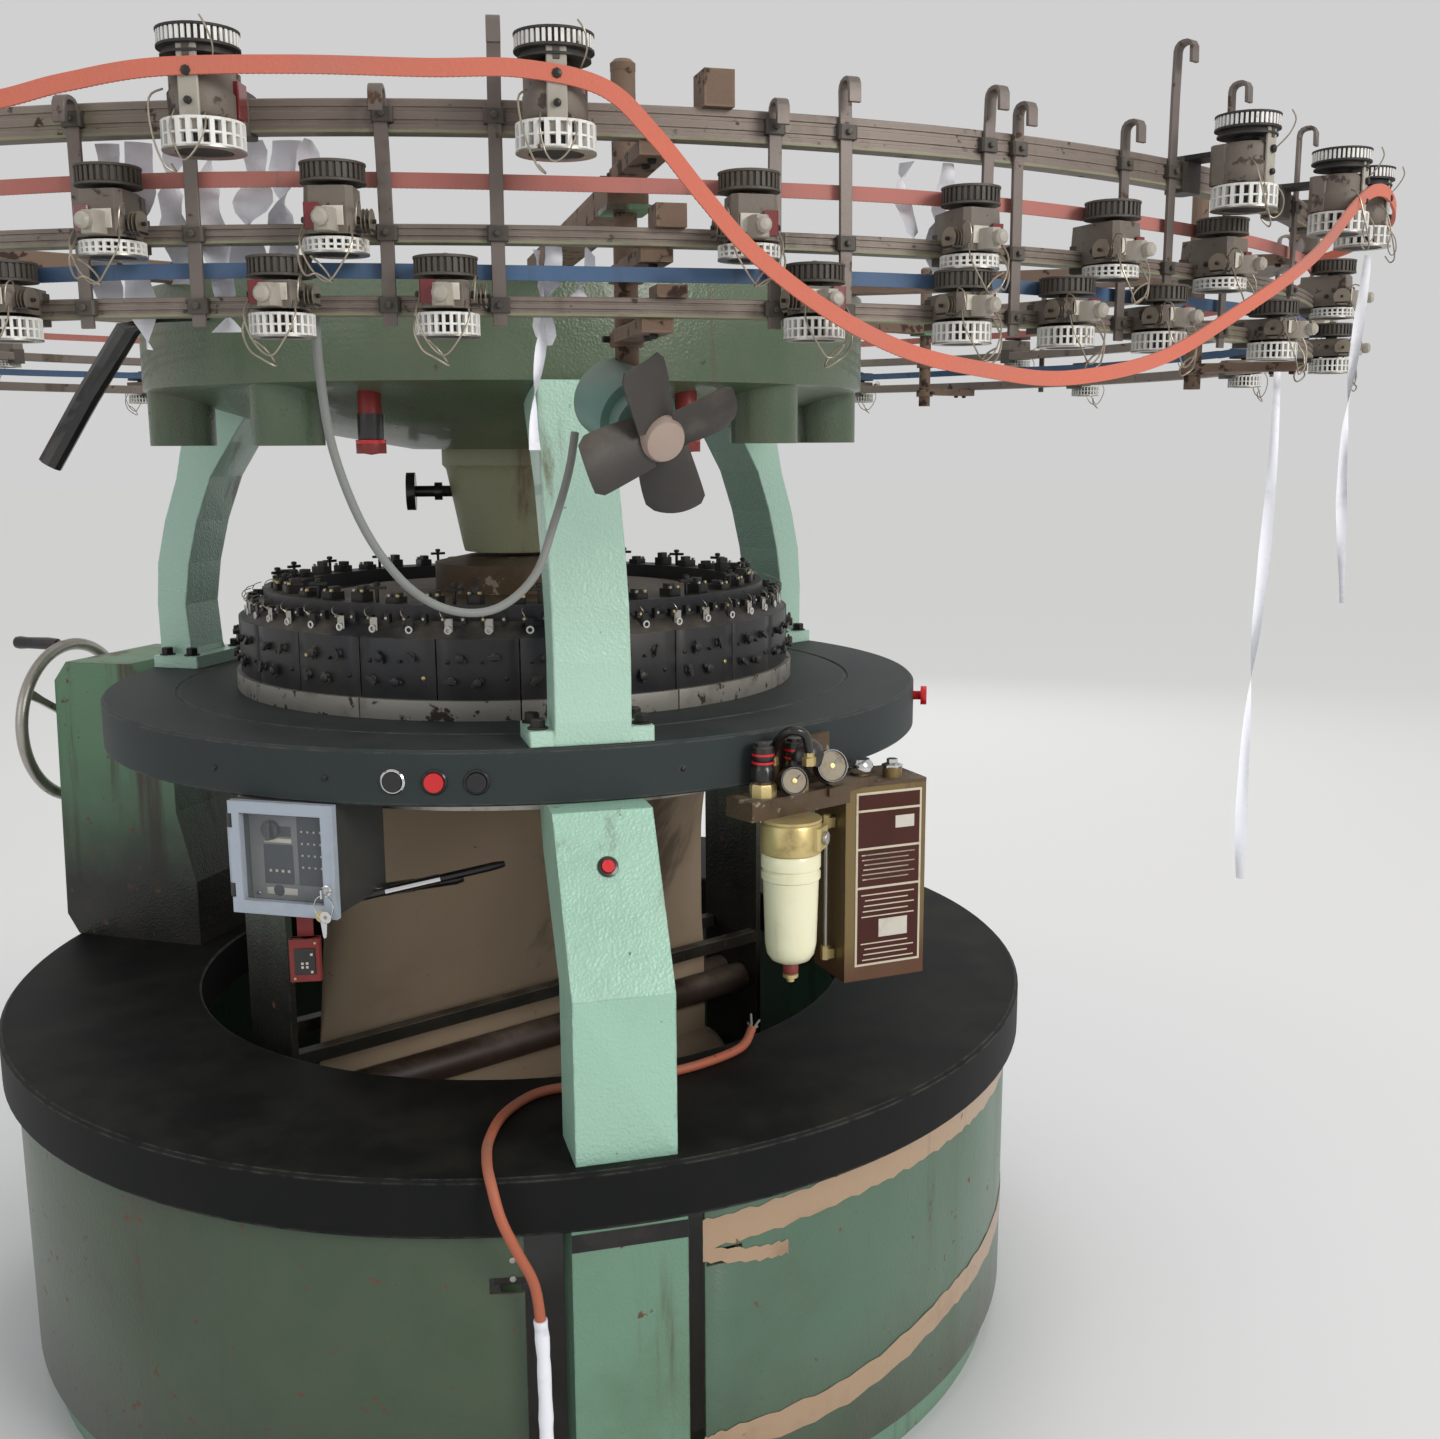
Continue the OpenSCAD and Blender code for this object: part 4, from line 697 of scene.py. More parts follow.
upSettings = {"spin": (-100.6, -88.2, -55, -43.5, -37), "fixed": (-122, 12, 70, 128, 176)}
upBodies = Shape("upUnits", unitLooks)
fixedBig = Shape("upWheels", "wheelWhite wheelDark steel")
for a in upSettings["spin"] + upSettings["fixed"]:
    m = onRing(a, 1430, 1920)
    upBodies.lathe([(8, -34), (26, -34), (29, -30), (29, -12), (27, -9), (27, 6), (24, 11), (8, 11)], m, 0,
                   28, True)
    for row in ((-90, -26, -17, 17, 0, 6, m, 5, 3), (-93, -64, -18, 18, -34, 5, m, 1, 4),
                (-32, -6, -27, 27, -33, 10, m, 0, 6), (-31, -10, 20, 30, -30, 2, m, 2, 1),
                (27, 30.5, -9, 9, -46, 40, m, 4, 1), (30, 31.6, -3, 3, 14, 36, m, 1)):
        upBodies.block(*row)
    for r, z in ((4.5, 2), (3.5, -22)):
        upBodies.stud(r, 3.5, 2, 4.5, m @ shift(30.5, 0, z) @ turn("Y", 90), 5, 8)
    wires(upBodies, m,
          (1.0, 4, ((26, 12, -30), (38, 16, -46), (42, 8, -64), (38, -4, -72), (34, -12, -62),
                    (36, -16, -44), (26, -14, -28))),
          (1.1, 4, ((20, -26, -10), (32, -34, -20), (40, -30, -50), (44, -20, -76), (38, -12, -82),
                    (32, -18, -74))),
          (1.0, 4, ((24, 20, 6), (36, 26, 20), (44, 24, 34), (42, 18, 44))))
    if a in upSettings["fixed"]:
        bigWheel(fixedBig, m)
upBodies.build(stands="feeder_units", slot="ring_tube", bevel=0.4)
fixedBig.build(stands="feed_wheels", slot="wheel_white")
for k, a in enumerate(upSettings["spin"], 1):
    spin = Shape(f"spindleWheel{k}", "wheelWhite wheelDark steel")
    bigWheel(spin, onRing(a, 1430, 1920))
    spin.build(f"spindle_{k}", f"spindle_{k}", "wheel_white")
print("feeder units made")

# carrier details
carrier = Shape("carrierDetails", "rustPost blackMetal greenDark")
for a in range(-84, 217, 60):
    m = onRing(a, 1185)
    for z in (1726, 1792, 1890):
        carrier.lathe([(19, z - 18), (19, z - 4), (16, z - 2)], m, 0, 20)
        carrier.stud(4, 8, 2.5, 9, m @ shift(0, -18, z - 10) @ turn("X", 90), 1)
        for x in (120, 150):
            carrier.stud(5, 4, 3, 5, m @ shift(x, 0, z - 14) @ turn("X", 180), 1)
    carrier.lathe([(13.5, 1988), (13.5, 1996), (9, 2000)], m, 0, 20)
    carrier.block(-30, 30, -24, 24, 1846, 1852, m, 2, 3)
carrier.build(slot="rust_post", bevel=0.4)

# cam boxes and head
head = {"sector": 15, "camR": 500, "camZ": 1212, "fittings": (
    (0.18, 30, 0), (0.3, 66, 1), (0.5, 28, 1), (0.7, 68, 0), (0.84, 34, 2), (0.14, 60, 2), (0.55, 60, 3))}
knobs = Shape("camKnobs", "camBlack oldBrass blackMetal steel")
for i in range(360 // head["sector"]):
    for k, (part, z, kind) in enumerate(head["fittings"]):
        m = onRing((i + part) * head["sector"], head["camR"], head["camZ"] + z) @ turn("Y", 90)
        tilt = turn("Z", (i * 37 + k * 61) % 180)
        if kind == 0:
            knobs.lathe([(7, 0), (7, 3), (4.5, 4), (4.5, 9)], m, 0, 10)
            knobs.block(-10, 10, -3.4, 3.4, 6, 11, m @ tilt, 0, 1.5)
        elif kind == 1:
            knobs.lathe([(6, 0), (6, 5), (7.5, 6), (7.5, 11), (5, 12)], m, 0, 6)
            knobs.block(-3, 3, -11, 11, 3, 7, m @ tilt, 0, 1.5)
        elif kind == 2:
            knobs.lathe([(3.6, -0.5), (3.6, 1.6), (2.4, 2.4)], m, 1 if (i + k) % 4 == 0 else 2, 10)
        else:
            knobs.stud(2.6, 5, 1.5, 6, m, 2, 8)
for i in range(40):
    m = onRing(i * 9, 426, 1356)
    tall = 15 + 5 * (i % 3)
    knobs.block(-16, 16, -12, 12, 0, tall * 0.6, m, 2, 3)
    knobs.block(-12, 6, -7, 7, tall * 0.55, tall, m, 0, 2)
    for y, slot in ((-8, 3), (8, 1)):
        knobs.stud(3.5, 4, 2, 5, m @ shift(10, y, tall * 0.6), slot)
    if i % 2 == 0:
        m = onRing((i + 0.5) * 9, 430, 1356)
        knobs.lathe([(3, 0), (3, 26), (5.5, 26), (5.5, 31), (3, 32)], m, 2, 8)
        knobs.block(-3, 3, -15, 15, 20, 25, m @ turn("Z", (i * 41) % 90 - 45), 2, 1)
for i in range(96):
    m = onRing(i * 3.75 + 1, 478, 1332)
    knobs.block(-6, 5, -4.5, 4.5, -2, 9 + 3 * (i % 2), m, 2 if i % 3 else 0, 1)
    knobs.lathe([(2.6, 0), (2.6, 3)], m @ shift(5, 0, 5) @ turn("Y", 90), 3 if i % 2 else 1, 8)
knobs.build(stands="cam_knobs", slot="black_metal", bevel=0.4)

carriers = Shape("yarnCarriers", "wheelWhite steel blackMetal")
eye = points(*[(4, 5 * cos(t), 4 + 5 * sin(t)) for t in around(10)])
hook = spline(points((2, -4, 20), (8, -8, 26), (4, -12, 34), (-8, -10, 38)), 3)
for i in range(48):
    m = onRing(i * 7.5 + 2, 484, 1316)
    carriers.block(-2, 1.6, -7, 7, -2, 22, m, 1 if i % 3 else 2, 2)
    carriers.tube(eye, 1.5, m, 0, 6, True)
    carriers.tube(hook, 0.9, m, 1, 5)
carriers.build(slot="steel")
print("head dressed")

# buttons and bolts
trim = Shape("tableTrim", "chrome blackPlastic blackMetal")
for k, a in enumerate((-104.5, -99.8, -95.1)):
    m = onRing(a, 735, 1134.5) @ turn("Y", 90)
    trim.lathe([(15, -2), (18.5, -1.5), (18.5, 1.6), (16.6, 3.2), (15, 3.2)], m, 1 if k else 0, 32, True)
m = onRing(-82, 824.5, 1026.5) @ shift(0, -2, 0) @ turn("Y", 61) @ shift(0, 0, 1)
trim.lathe([(10, -3), (15, -2), (15, 2), (10, 3)], m, 1, 24, True)
for a in (-71.6, -112.5, -128, -60.8):
    trim.stud(4.5, 2.5, 3, 3.4, onRing(a, 734.6, 1136) @ turn("Y", 90), 2)
for a in (-82, 38, 158):
    for s in (-76, 76):
        for r in (648, 702):
            m = onRing(a, r) @ shift(0, s, 1204)
            trim.lathe([(15, 0), (15, 2.4), (0, 2.4)], m, 2, 20)
            trim.lathe([(11.6, 2.4), (11.6, 13.6), (10, 14.6), (0, 14.6)], m, 2, 6)
trim.build(slot="black_metal", bevel=0.3)
postTop = Shape("postTop", "blackMetal")
postTop.block(0, 1.2, -82.4, 82.4, 513, 539.4, onRing(-82, 929))
postTop.build(slot="black_metal", bevel=0.3)
print("trim made")

# handwheel
handwheel = {"az": 156, "place": (984, 20, 1048), "r": 156, "rim": 12}
wheel = Shape("handWheel", "steel blackPlastic")
m = onRing(handwheel["az"], 0) @ shift(*handwheel["place"]) @ turn("Y", 90)
rim = [(handwheel["r"] + handwheel["rim"] * cos(t), 7 + handwheel["rim"] * sin(t)) for t in around(14)]
wheel.lathe(rim, m, 0, 72, True)
wheel.lathe([(14, -66), (14, -29), (25, -29), (26, -27), (26, 14), (22, 17), (12, 17), (12, 20), (0, 20)], m,
            0, 28)
for k in range(3):
    wheel.prism([(18, -11), (60, -7), (110, -7), (150, -10), (150, 10), (110, 7), (60, 7), (18, 11)], 9,
                m @ turn("Z", 120 * k) @ shift(0, 0, 2.5))
wheel.lathe([(6, 12), (6, 34), (11, 36), (13, 60), (12, 110), (13.5, 128), (12, 138), (7, 140), (0, 140)],
            m @ shift(-handwheel["r"], 0, 0), 1, 18)
wheel.build("handwheel", "handwheel", "steel", bevel=0.6)

# fan
fanSettings = {"hub": (150, -1272, 1612), "dir": Vector((0.35, -0.87, -0.35)), "blades": 4, "length": 74,
               "pitch": 24, "thick": 0.9, "cols": 9, "rows": 9}
direction = fanSettings["dir"]
fanM = shift(*fanSettings["hub"]) @ turn("Z", degrees(atan2(direction.y, direction.x)))
fanM = fanM @ turn("Y", degrees(acos(direction.z / direction.length)))
fan = Shape("fanBlades", "blade hubTan")
fan.lathe([(7, -60), (7, -14), (22, -14), (24, -11), (24, 8), (21, 14), (14, 16), (0, 16.5)], fanM, 1, 32)
cols, rows, verts = fanSettings["cols"], fanSettings["rows"], []
for side in (fanSettings["thick"], -fanSettings["thick"]):
    for u in [i / (cols - 1) for i in range(cols)]:
        wide = 27 + 5 * sin(u * 1.9)
        if u > 0.86:
            wide *= sqrt(1 - 0.35 * ((u - 0.86) / 0.14) ** 2)
        for v in [2 * j / (rows - 1) - 1 for j in range(rows)]:
            verts.append((u * fanSettings["length"] - 3 * v * v * u, v * wide + 5 * u * u,
                          7 * (1 - v * v) - 3 + side))
n = cols * rows
rim = list(range(rows)) + [i * rows + rows - 1 for i in range(1, cols)]
rim += list(range(n - 2, n - rows - 1, -1)) + [i * rows for i in range(cols - 2, 0, -1)]
faces = gridFaces(cols, rows, flip=True) + gridFaces(cols, rows, n)
faces += [[p, q, n + q, n + p] for p, q in zip(rim, rim[1:] + rim[:1])]
for k in range(fanSettings["blades"]):
    at = fanM @ turn("Z", 90 * k + 20) @ shift(14, 0, 0) @ turn("X", fanSettings["pitch"])
    fan.add(verts, faces, at)
fan.build("fan_rotor", "fan_rotor", "dark_paint")
print("fan made")

# take-down cloth
clothSettings = {"turn": 32, "cylinder": 369, "half": 440, "top": 1092, "fall": 552, "down": 60,
                 "around": 140, "tubeFlat": (2.06, 0.66), "webFlat": (0.88, 0.183), "webTop": 541,
                 "webFall": 181}


def clothPoint(t, at):
    c, s = cos(at), sin(at)
    fold, blend = sin(t * pi), t ** 0.92
    flat = Vector((clothSettings["half"] * (1 if c >= 0 else -1) * abs(c) ** 0.75,
                   3.4 * (1 if s >= 0 else -1) * abs(s) ** 0.5, 0))
    p = Vector((c, s, 0)) * clothSettings["cylinder"] * (1 - blend) + flat * blend
    wave = 5.0 * sin(at * 9 + t * 5) + 3.0 * sin(at * 17 - t * 9) + 7.0 * sin(c * 3 + t * 7) * abs(s)
    p += Vector((c * 0.4, s, 0)) * wave * fold * 0.55
    sag = 3.6 * fold * abs(s) * sin(c * 5 + 1.2)
    return Vector((p.x, p.y, clothSettings["top"] - t * clothSettings["fall"] - sag))


down, m = clothSettings["down"], turn("Z", clothSettings["turn"])
cloth = Shape("clothTube", "clothTan")
cloth.add([clothPoint(i / down, at) for i in range(down + 1) for at in around(clothSettings["around"])],
          gridFaces(down + 1, clothSettings["around"], closed=True), m)
clothObj = cloth.build("rotor", "cloth_tube", "cloth", angle=80)
girth, length = clothSettings["tubeFlat"]
web = Shape("clothWeb", "clothTan")
wide, tall, half = 90, 14, clothSettings["half"]
verts = [(-half + 2 * half * j / wide, 1.5 * sin(j * 0.7 + i * 0.4) * sin(pi * i / tall),
          clothSettings["webTop"] - clothSettings["webFall"] * i / tall)
         for i in range(tall + 1) for j in range(wide + 1)]
web.add(verts, gridFaces(tall + 1, wide + 1), m)
webObj = web.build("rotor", slot="cloth", angle=80)
wound = Shape("clothWound", "clothTan")
line = [(75 + 1.1 * sin(k * 1.9) + (0.8 if k % 5 else -0.6), -450 + 15 * k) for k in range(61)]
radiusSteps = (14, 20, 26, 32, 38, 44, 50, 56, 62, 68, 73)
ends = [(r, -450 + 1.5 * sin(r)) for r in radiusSteps]
others = [(r, 450 + 1.5 * sin(r * 1.3)) for r in radiusSteps[::-1]]
m = m @ shift(0, 0, 285) @ turn("Y", 90)
wound.lathe(ends + line + others, m, 0, 48, True)
wound.build("cloth_roll", slot="cloth", angle=80)
bar = Shape("clothBar", "steel")
bar.lathe([(12, -532), (12, 532)], m)
bar.build("cloth_roll", "cloth_roll", "steel", bevel=0.6)
print("cloth made")

# control box
boxSettings = {"place": (-345.5, -652.6, 933), "turn": -112, "face": -20.2, "fields": (
    (-70, 70, 10, 155, 0, 0.8), (8, 52, 34, 138, 1, 1.4), (-48, 0, 34, 94, 1, 1.4),
    (-34, -2, 106, 122, 1, 1.2), (-46, -2, 97, 103, 2, 1.2), (-46, 4, 18, 28, 5, 1.2))}
panel = Shape("boxPanel", "panelGrey panelDark paleLine blackPlastic chrome sticker")
box, face = shift(*boxSettings["place"]) @ turn("Z", boxSettings["turn"]), boxSettings["face"]


def onBox(x, y, z):
    return box @ shift(x, y, z) @ turn("Y", 90)


marks = [(-40 + 10 * k, -36 + 10 * k, 52, 56, 2, 1.8) for k in range(4)]
marks += [(14 + 10 * k, 17 + 10 * k, 60 + 18 * j, 63 + 18 * j, 2, 1.8) for k in range(4) for j in range(4)]
for y0, y1, z0, z1, slot, thick in (*boxSettings["fields"], *marks):
    panel.block(face, face + thick, y0, y1, z0, z1, box, slot)
for y, z in ((-60, 146), (60, 146), (-60, 18), (60, 18)):
    panel.stud(3, 2, 1.5, 2.6, onBox(face, y, z), 4, 10)
panel.lathe([(9, 0), (9, 1.5), (0, 1.5)], onBox(face, -26, 24), 3, 18)
panel.build(slot="box_dark", bevel=0.2)
keys = Shape("boxKeys", "chrome oldBrass")
keys.lathe([(5, 0), (8, 12.6), (8, 15), (4.6, 16), (0, 16)], onBox(0.8, 71, 40), 0, 18)
keys.block(14, 34, 69.6, 72.4, 33, 46, box, 0, 1)
keys.tube(points(*[(26, 71 + 15 * sin(t), 19 + 17 * cos(t)) for t in around(24)]), 1.1, box, 0, 6, True)
bit = [(-2.6, -30), (-1.6, -32), (1.4, -30), (0.8, -27.5), (2.6, -26), (2.6, -8), (-2.6, -8)]
for k, y in enumerate((66, 74)):
    top = box @ shift(25 + 2.2 * k, y, 4) @ turn("X", 8 - 12 * k) @ turn("Y", 90)
    keys.ring(3, 9, -0.9, 0.9, top, 0 if k else 1, 18)
    keys.prism(bit, 1.8, top @ turn("Z", 90) @ shift(0, 0, -0.9))
keys.build("box_key", "box_key", "steel")
dial = Shape("selectorKnob", "blackPlastic")
for profile, n in (([(5, -34), (5, -19.4)], 14), ([(15, -19.2), (15, -16), (13, -12.5), (0, -12.5)], 24)):
    dial.lathe(profile, onBox(0, -34, 116), 0, n)
dial.block(-12.6, -5.2, -38, -30, 102.4, 129.6, box, 0, 1.5)
dial.build("box_selector", "box_selector", "black_plastic", bevel=0.5)
switch = Shape("limitSwitch", "redDull blackPlastic sticker oldBrass")
m = shift(-340, -564, 792)
switch.block(-23.6, 23.6, -1.6, 15, 0, 68, m, 0, 2)
switch.block(-16, 16, -3.4, 2, 12, 54, m, 1, 1)
for x, z, slot in ((-4, 24, 2), (3, 24, 2), (-4, 30, 2), (3, 30, 2), (10, 44, 2), (10, 16, 2), (16, 62, 3),
                   (-16, 6, 3)):
    switch.block(x - 2, x + 2, -4.2, -3, z - 2, z + 2, m, slot)
switch.build(slot="red_plastic", bevel=0.5)
lamps = Shape("signalLamps", "redPlastic blackPlastic")
for m in (onRing(-112, 560), onRing(-62, 560)):
    lamps.lathe([(0, 1590), (12, 1592), (20, 1599), (22.4, 1608), (22.4, 1612), (0, 1612)], m)
    lamps.lathe([(18, 1611), (19, 1614), (19, 1650), (0, 1650)], m, 1)
lamps.build(slot="red_plastic")
rods = Shape("boxRods", "blackPlastic chrome")
for near, far, r in (((-292, -585, 921), (-32, -560, 966), 6.5), ((-290, -566, 926), (-96, -552, 944), 9)):
    near, far = points(near, far)
    rods.tube([near, near.lerp(far, 0.5), near.lerp(far, 0.94), far], [r, r, r, r * 0.7], n=14)
    rods.tube([near.lerp(far, 0.3), near.lerp(far, 0.62)], r + 1.2, still, 1, 14)
rods.block(-306, -276, -600, -552, 915, 935, cut=2)
rods.build(slot="black_metal", bevel=0.4)
print("control box dressed")

# oil unit
oilSettings = {"place": (570, -565, 0), "turn": -75, "gauges": ((-60.2, 1112, 21), (-54.6, 1124, 25)),
               "regulators": (-62.3, -57.6), "regulatorR": 762,
               "print": ((1034, 1058), (972, 1030), (908, 968), (780, 904))}
oilM = shift(*oilSettings["place"]) @ turn("Z", oilSettings["turn"])
oil = Shape("oilDetails",
            "plateBrown paleLine oldBrass blackPlastic chrome sticker oilGrime steel gaugeFace")
oil.block(0.1, 1.2, -54, 64, 776, 1062, oilM, 1, 1)
for z0, z1 in oilSettings["print"]:
    oil.block(0.2, 1.8, -50, 60, z0, z1, oilM)
for y0, y1, z0, z1 in ((16, 50, 1000, 1020), (-12, 40, 822, 852)):
    oil.block(0.3, 2.2, y0, y1, z0, z1, oilM, 5)
for k in range(26):
    z = 894 - 9 * (k % 13) if k < 13 else 960 - 8 * (k % 6)
    if not 816 < z < 858:
        oil.block(0.3, 2.0, -44 + (k * 7) % 9, 52 - (k * 11) % 22, z - 1.0, z + 1.0, oilM, 1)
oil.block(-111, 1, -73, 73, 1071, 1077, oilM, 6, 2)
m = oilM @ shift(-40, -86, 0)
oil.lathe([(4, 790), (4, 1010)], m, 7, 14)
for z in (782, 1000):
    oil.lathe([(8, z), (8, z + 22), (6, z + 24)], m, 2, 6)
    oil.block(-48, -32, -88, -72, z + 2, z + 18, oilM, 2, 2)
oil.lathe([(17, 1090), (20, 1094), (20, 1104), (14, 1112), (0, 1113)], oilM @ shift(-24, -34, 0), 4, 28)
oil.lathe([(17, 1093), (17, 1097), (9, 1100), (9, 1106), (0, 1106)], oilM @ shift(-30, 26, 0), 4, 6)
for a, z, size in oilSettings["gauges"]:
    m = onRing(a, 800, z) @ turn("Z", -22) @ turn("Y", 76)
    oil.lathe([(0, -22), (size - 4, -22), (size, -16), (size, 3), (size - 2, 3), (size - 2.4, 0.6),
               (0, 0.6)], m, 3, 32)
    oil.lathe([(0, 0.6), (size - 3, 0.6), (size - 3, 1.2), (0, 1.2)], m, 8, 32)
    oil.block(-1, 1, -2, size * 0.6, 1.2, 2.2, m @ turn("Z", 40), 3)
    oil.lathe([(4, 1.2), (4, 2.6), (0, 2.8)], m, 2, 12)
pipe = points((372, -640, 1140), (380, -668, 1172), (396, -684, 1186), (416, -682, 1178), (424, -672, 1150))
oil.tube(spline(pipe, 5), 7, still, 3, 12)
oil.lathe([(11, 0), (11, 12), (8, 14), (8, 20)], shift(424, -672, 1130), 2, 6)
oil.stud(12, 10, 9, 13, shift(372, -640, 1126), 2)
oil.lathe([(26, -14), (28, -8), (28, 8), (22, 20), (10, 26), (0, 27)],
          onRing(-56.6, 770, 1140) @ turn("X", -20), 3, 28)
for a in oilSettings["regulators"]:
    oil.lathe([(16, 1082), (20.5, 1083), (20.5, 1102), (19, 1106), (16, 1106)],
              onRing(a, oilSettings["regulatorR"]), 2, 8, True)
oil.build(slot="gold_paint", bevel=0.4)

bowl = Shape("filterBowl", "bowlCream oldBrass steel")
m = shift(394, -690, 0)
bowl.lathe([(7, 831), (20, 832), (30, 837), (36, 846), (39, 862), (41, 930), (42, 962), (44.5, 964),
            (44.5, 974), (42.5, 975), (42.5, 980), (44.8, 981), (44.8, 1000), (43, 1003), (0, 1003)],
           m, 0, 56)
bowl.lathe([(43, 1003), (46, 1005), (46, 1046), (44, 1050), (46, 1052), (46, 1056), (0, 1056)], m, 1, 56)
at = m @ turn("Z", -30)
bowl.block(30, 52, -20, 20, 1012, 1046, at, 1, 4)
bowl.stud(10, 6, 6, 7, at @ shift(52, 0, 1029) @ turn("Y", 90), 2, 18)
bowl.build(stands="filter_bowl", slot="cream_bowl", bevel=0.5)
drain = Shape("drainTap", "redDull oldBrass")
drain.lathe([(6, 800), (6, 806), (12, 807), (12, 812), (9, 814), (9, 822), (6, 823), (6, 848)], m, 1, 12)
drain.lathe([(11, 814), (12, 816), (12, 826), (10, 829), (6.2, 829)], m, 0, 18)
drain.build("drain_valve", "drain_valve", "red_plastic")
for letter, a in zip("ab", oilSettings["regulators"]):
    name, m = "regulator_" + letter, onRing(a, oilSettings["regulatorR"], 1110.6)
    reg = Shape("regulatorKnob" + letter.upper(), "blackPlastic redPlastic")
    reg.lathe([(15, 0), (17, 1), (17, 18), (15.6, 20), (15.6, 31), (17, 33), (17, 37.5), (16.6, 38),
               (16.6, 40), (17, 40.5), (16, 50), (13, 52), (13, 57), (0, 58)], m, 0, 32)
    for z in (26, 38):
        reg.ring(15, 17.4, z, z + 3.4, m, 1, 32)
    for q in range(18):
        reg.block(16.2, 17.6, -1.2, 1.2, 3, 17, m @ turn("Z", 20 * q))
    reg.build(name, name, "black_plastic")
print("oil unit dressed")

# tape on the right door, as angle and height along the door, then the width
tapeSettings = {"r": 915, "highest": 539, "lanes": 6, "runs": (
    (((-75.2, 500), (-68, 505), (-58.1, 513), (-50, 514), (-41.1, 514), (-33.8, 512), (-20, 511)), 46),
    (((-75.2, 158), (-71.7, 164), (-59.1, 170), (-44.6, 200), (-35.6, 207), (-20, 216), (0, 222)), 44),
    (((-75.2, 470), (-70, 452), (-66.5, 448)), 22))}
tape, lanes = Shape("doorTape", "tapeBrown"), tapeSettings["lanes"]
for rows, wide in tapeSettings["runs"]:
    line = spline(points(*[(a, 0, z) for a, z in rows]), 10)
    verts = []
    for i, p in enumerate(line):
        for j in range(lanes + 1):
            ragged = 2 * sin(i * 2.1) if j in (0, lanes) else 0
            z = p.z + (j / lanes - 0.5) * wide * (1 + 0.05 * sin(i * 1.3)) + ragged
            lift = 0.7 + 0.8 * abs(sin(i * 0.9 + j * 2.3)) * random.random()
            verts.append(polar(p.x, tapeSettings["r"] + lift, min(z, tapeSettings["highest"])))
    tape.add(verts, gridFaces(len(line), lanes + 1, flip=True))
tape.build("door_right", angle=80)
rivets = Shape("doorRivets", "steel")
for z in (472, 500):
    rivets.lathe([(4.5, -0.5), (4.5, 1.2), (2.5, 2.4)], onRing(-92.1, 915, z) @ turn("Y", 90), 0, 12)
rivets.build("door_left", slot="steel")

# white strips, as angle, radius and height of the top, then length, width and a number for the twist
ribbons = {
    "A": (-86.9, 1336, 1792, 54, 22, 0.4), "J": (-88.4, 1336, 1792, 92, 25, 1.2),
    "B": (-47, 1387, 1690, 660, 16, 1.1), "C": (-37, 1432, 1850, 470, 15, 2.0),
    "D": (-106.5, 1336, 1888, 150, 32, 0.9), "E": (-105.2, 1334, 1888, 190, 38, 1.7),
    "F": (-103.6, 1330, 1888, 130, 36, 2.6), "G": (-101.9, 1334, 1888, 175, 34, 3.3),
    "H": (-88.9, 1336, 1790, 190, 12, 0.2), "I": (-70.5, 1336, 1888, 110, 22, 1.4),
    "K": (-100.4, 1330, 1888, 120, 42, 0.6), "L": (-99.0, 1332, 1888, 160, 38, 2.2),
    "M": (-97.7, 1330, 1888, 105, 34, 4.1), "N": (-72.3, 1336, 1888, 80, 20, 3.0)}
for letter, (a, r, z, length, width, seed) in ribbons.items():
    verts, count, lanes = [], int(length / 9), 4
    for t in [i / count for i in range(count + 1)]:
        spin = radians(seed * 40 + 140 * sin(t * 3.1 + seed) + 30 * sin(t * 13 + seed * 2))
        mid = polar(a, r, z) + Vector((6 * sin(t * 5 + seed), 5 * cos(t * 4 + seed * 2), -t * length))
        half = width / 2 * (1 - 0.35 * abs(sin(t * 6 + seed)))
        for v in [2 * j / lanes - 1 for j in range(lanes + 1)]:
            curl = 3.0 * (1 - v * v) * sin(t * 9 + seed)
            verts.append(mid + Vector((cos(spin) * v * half - sin(spin) * curl,
                                       sin(spin) * v * half + cos(spin) * curl, 0)))
    ribbon = Shape("ribbon" + letter, "whiteStrip")
    ribbon.add(verts, gridFaces(count + 1, lanes + 1))
    ribbonObj = ribbon.build(angle=80)
print("tape and strips made")

# stage: near the machine the floor is plain and keeps the shadow, further out it meets the backdrop
studio = {"backdrop": (208, 208, 208), "light": (206, 209, 213), "floor": (214, 213, 211), "size": 60,
          "shadowed": (150, 149, 148), "lift": (176, 175, 173), "plainTo": 0.95, "liftedFrom": 3.4}
floor = bpy.data.meshes.new("studioFloor")
edgePoints = [(studio["size"] * cos(t), studio["size"] * sin(t), -0.0005) for t in around(64)]
floor.from_pydata(edgePoints, [], [list(range(64))])
floorObj = addObject("studioFloor", floor)
material("studioPale", studio["floor"], 0.95, shine=0.02, bump=None)
floor.materials.append(looks["studioPale"])


def seenDirectly(net):
    path = net.node("ShaderNodeLightPath").outputs
    direct = net.math("ADD", path["Is Camera Ray"], path["Is Glossy Ray"], True)
    return net.math("ADD", direct, path["Is Transmission Ray"], True)


tree = looks["studioPale"].node_tree
net, shader = Net(tree), tree.nodes["Principled BSDF"]
outward = net.node("ShaderNodeVectorMath", {0: net.place()}, operation="LENGTH").outputs["Value"]
seen = net.math("MULTIPLY", seenDirectly(net), net.fit(outward, studio["plainTo"], studio["liftedFrom"]))
net.put(shader.inputs["Base Color"], net.mix(seen, rgb(*studio["floor"]), rgb(*studio["shadowed"])))
net.put(shader.inputs["Emission Color"], net.mix(seen, (0, 0, 0, 1), rgb(*studio["lift"])))
net.put(shader.inputs["Emission Strength"], 1.0)

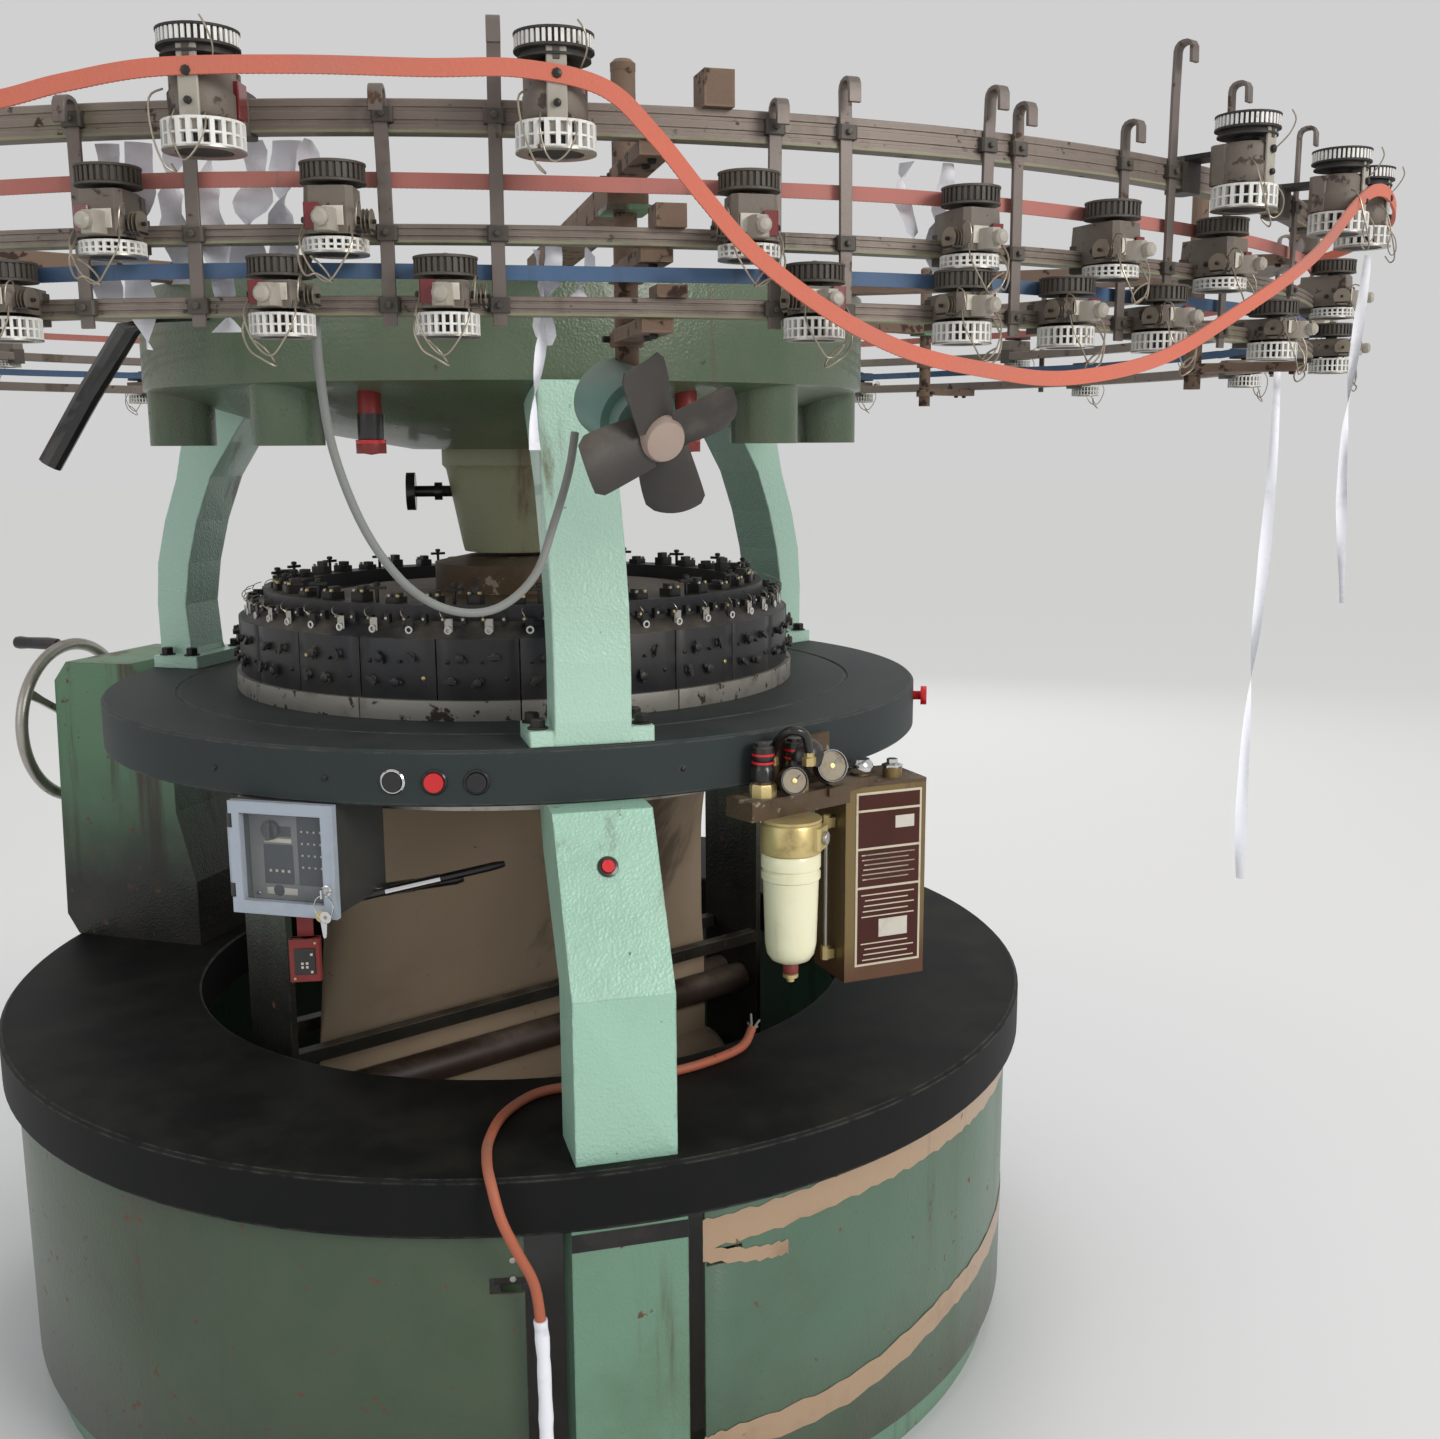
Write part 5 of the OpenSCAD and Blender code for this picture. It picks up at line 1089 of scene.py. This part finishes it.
scene = bpy.context.scene
world = bpy.data.worlds.new("studioWorld")
world.use_nodes = True
net, background = Net(world.node_tree), world.node_tree.nodes["Background"]
tint = net.mix(seenDirectly(net), rgb(*studio["light"]), rgb(*studio["backdrop"]))
net.put(background.inputs["Color"], tint)
net.put(background.inputs["Strength"], 1.0)
scene.world = world

# place, aim, diameter, power, colour
lights = {"keyLight": ((5.0, -6.6, 4.4), (0, -0.4, 1.0), 3.2, 330, (1.0, 0.98, 0.96)),
          "fillLight": ((-5.0, -4.4, 3.2), (0, 0, 1.1), 3.6, 40, (0.94, 0.97, 1.0)),
          "topLight": ((0.4, 0.6, 5.6), (0, 0, 1.0), 4.0, 90, (1, 1, 1)),
          "backLight": ((2.4, 6.4, 3.4), (0, 0, 1.2), 4.0, 110, (0.96, 0.98, 1.0))}
for name, (place, aim, size, power, tint) in lights.items():
    light = bpy.data.lights.new(name, "AREA")
    light.shape = "DISK"
    light.size, light.energy, light.color = size, power, tint
    obj = addObject(name, light)
    obj.location = place
    obj.visible_glossy = name in ("keyLight", "fillLight")
    obj.rotation_euler = (Vector(aim) - Vector(place)).to_track_quat("-Z", "Y").to_euler()

# the camera as the photo gives it, in degrees and metres
view = {"pitch": 10.35, "yaw": 7.53, "roll": -0.27, "place": (0, -2.867, 1.608), "lens": 38.125}
pitch, yaw, roll = radians(view["pitch"]), radians(view["yaw"]), radians(view["roll"])
ahead = Vector((sin(yaw) * cos(pitch), cos(yaw) * cos(pitch), -sin(pitch)))
level = Vector((cos(yaw), -sin(yaw), 0))
upright = level.cross(ahead)
right, up = level * cos(roll) + upright * sin(roll), upright * cos(roll) - level * sin(roll)
camera = bpy.data.cameras.new("photoCamera")
camera.lens, camera.sensor_width, camera.sensor_fit, camera.clip_end = view["lens"], 36, "HORIZONTAL", 80
cameraObj = addObject("photoCamera", camera)
cameraObj.matrix_world = shift(*view["place"]) @ Matrix((right, up, -ahead)).transposed().to_4x4()
scene.camera = cameraObj
scene.view_settings.view_transform = "Standard"
scene.view_settings.look = "None"
print("stage set")

bpy.context.view_layer.update()
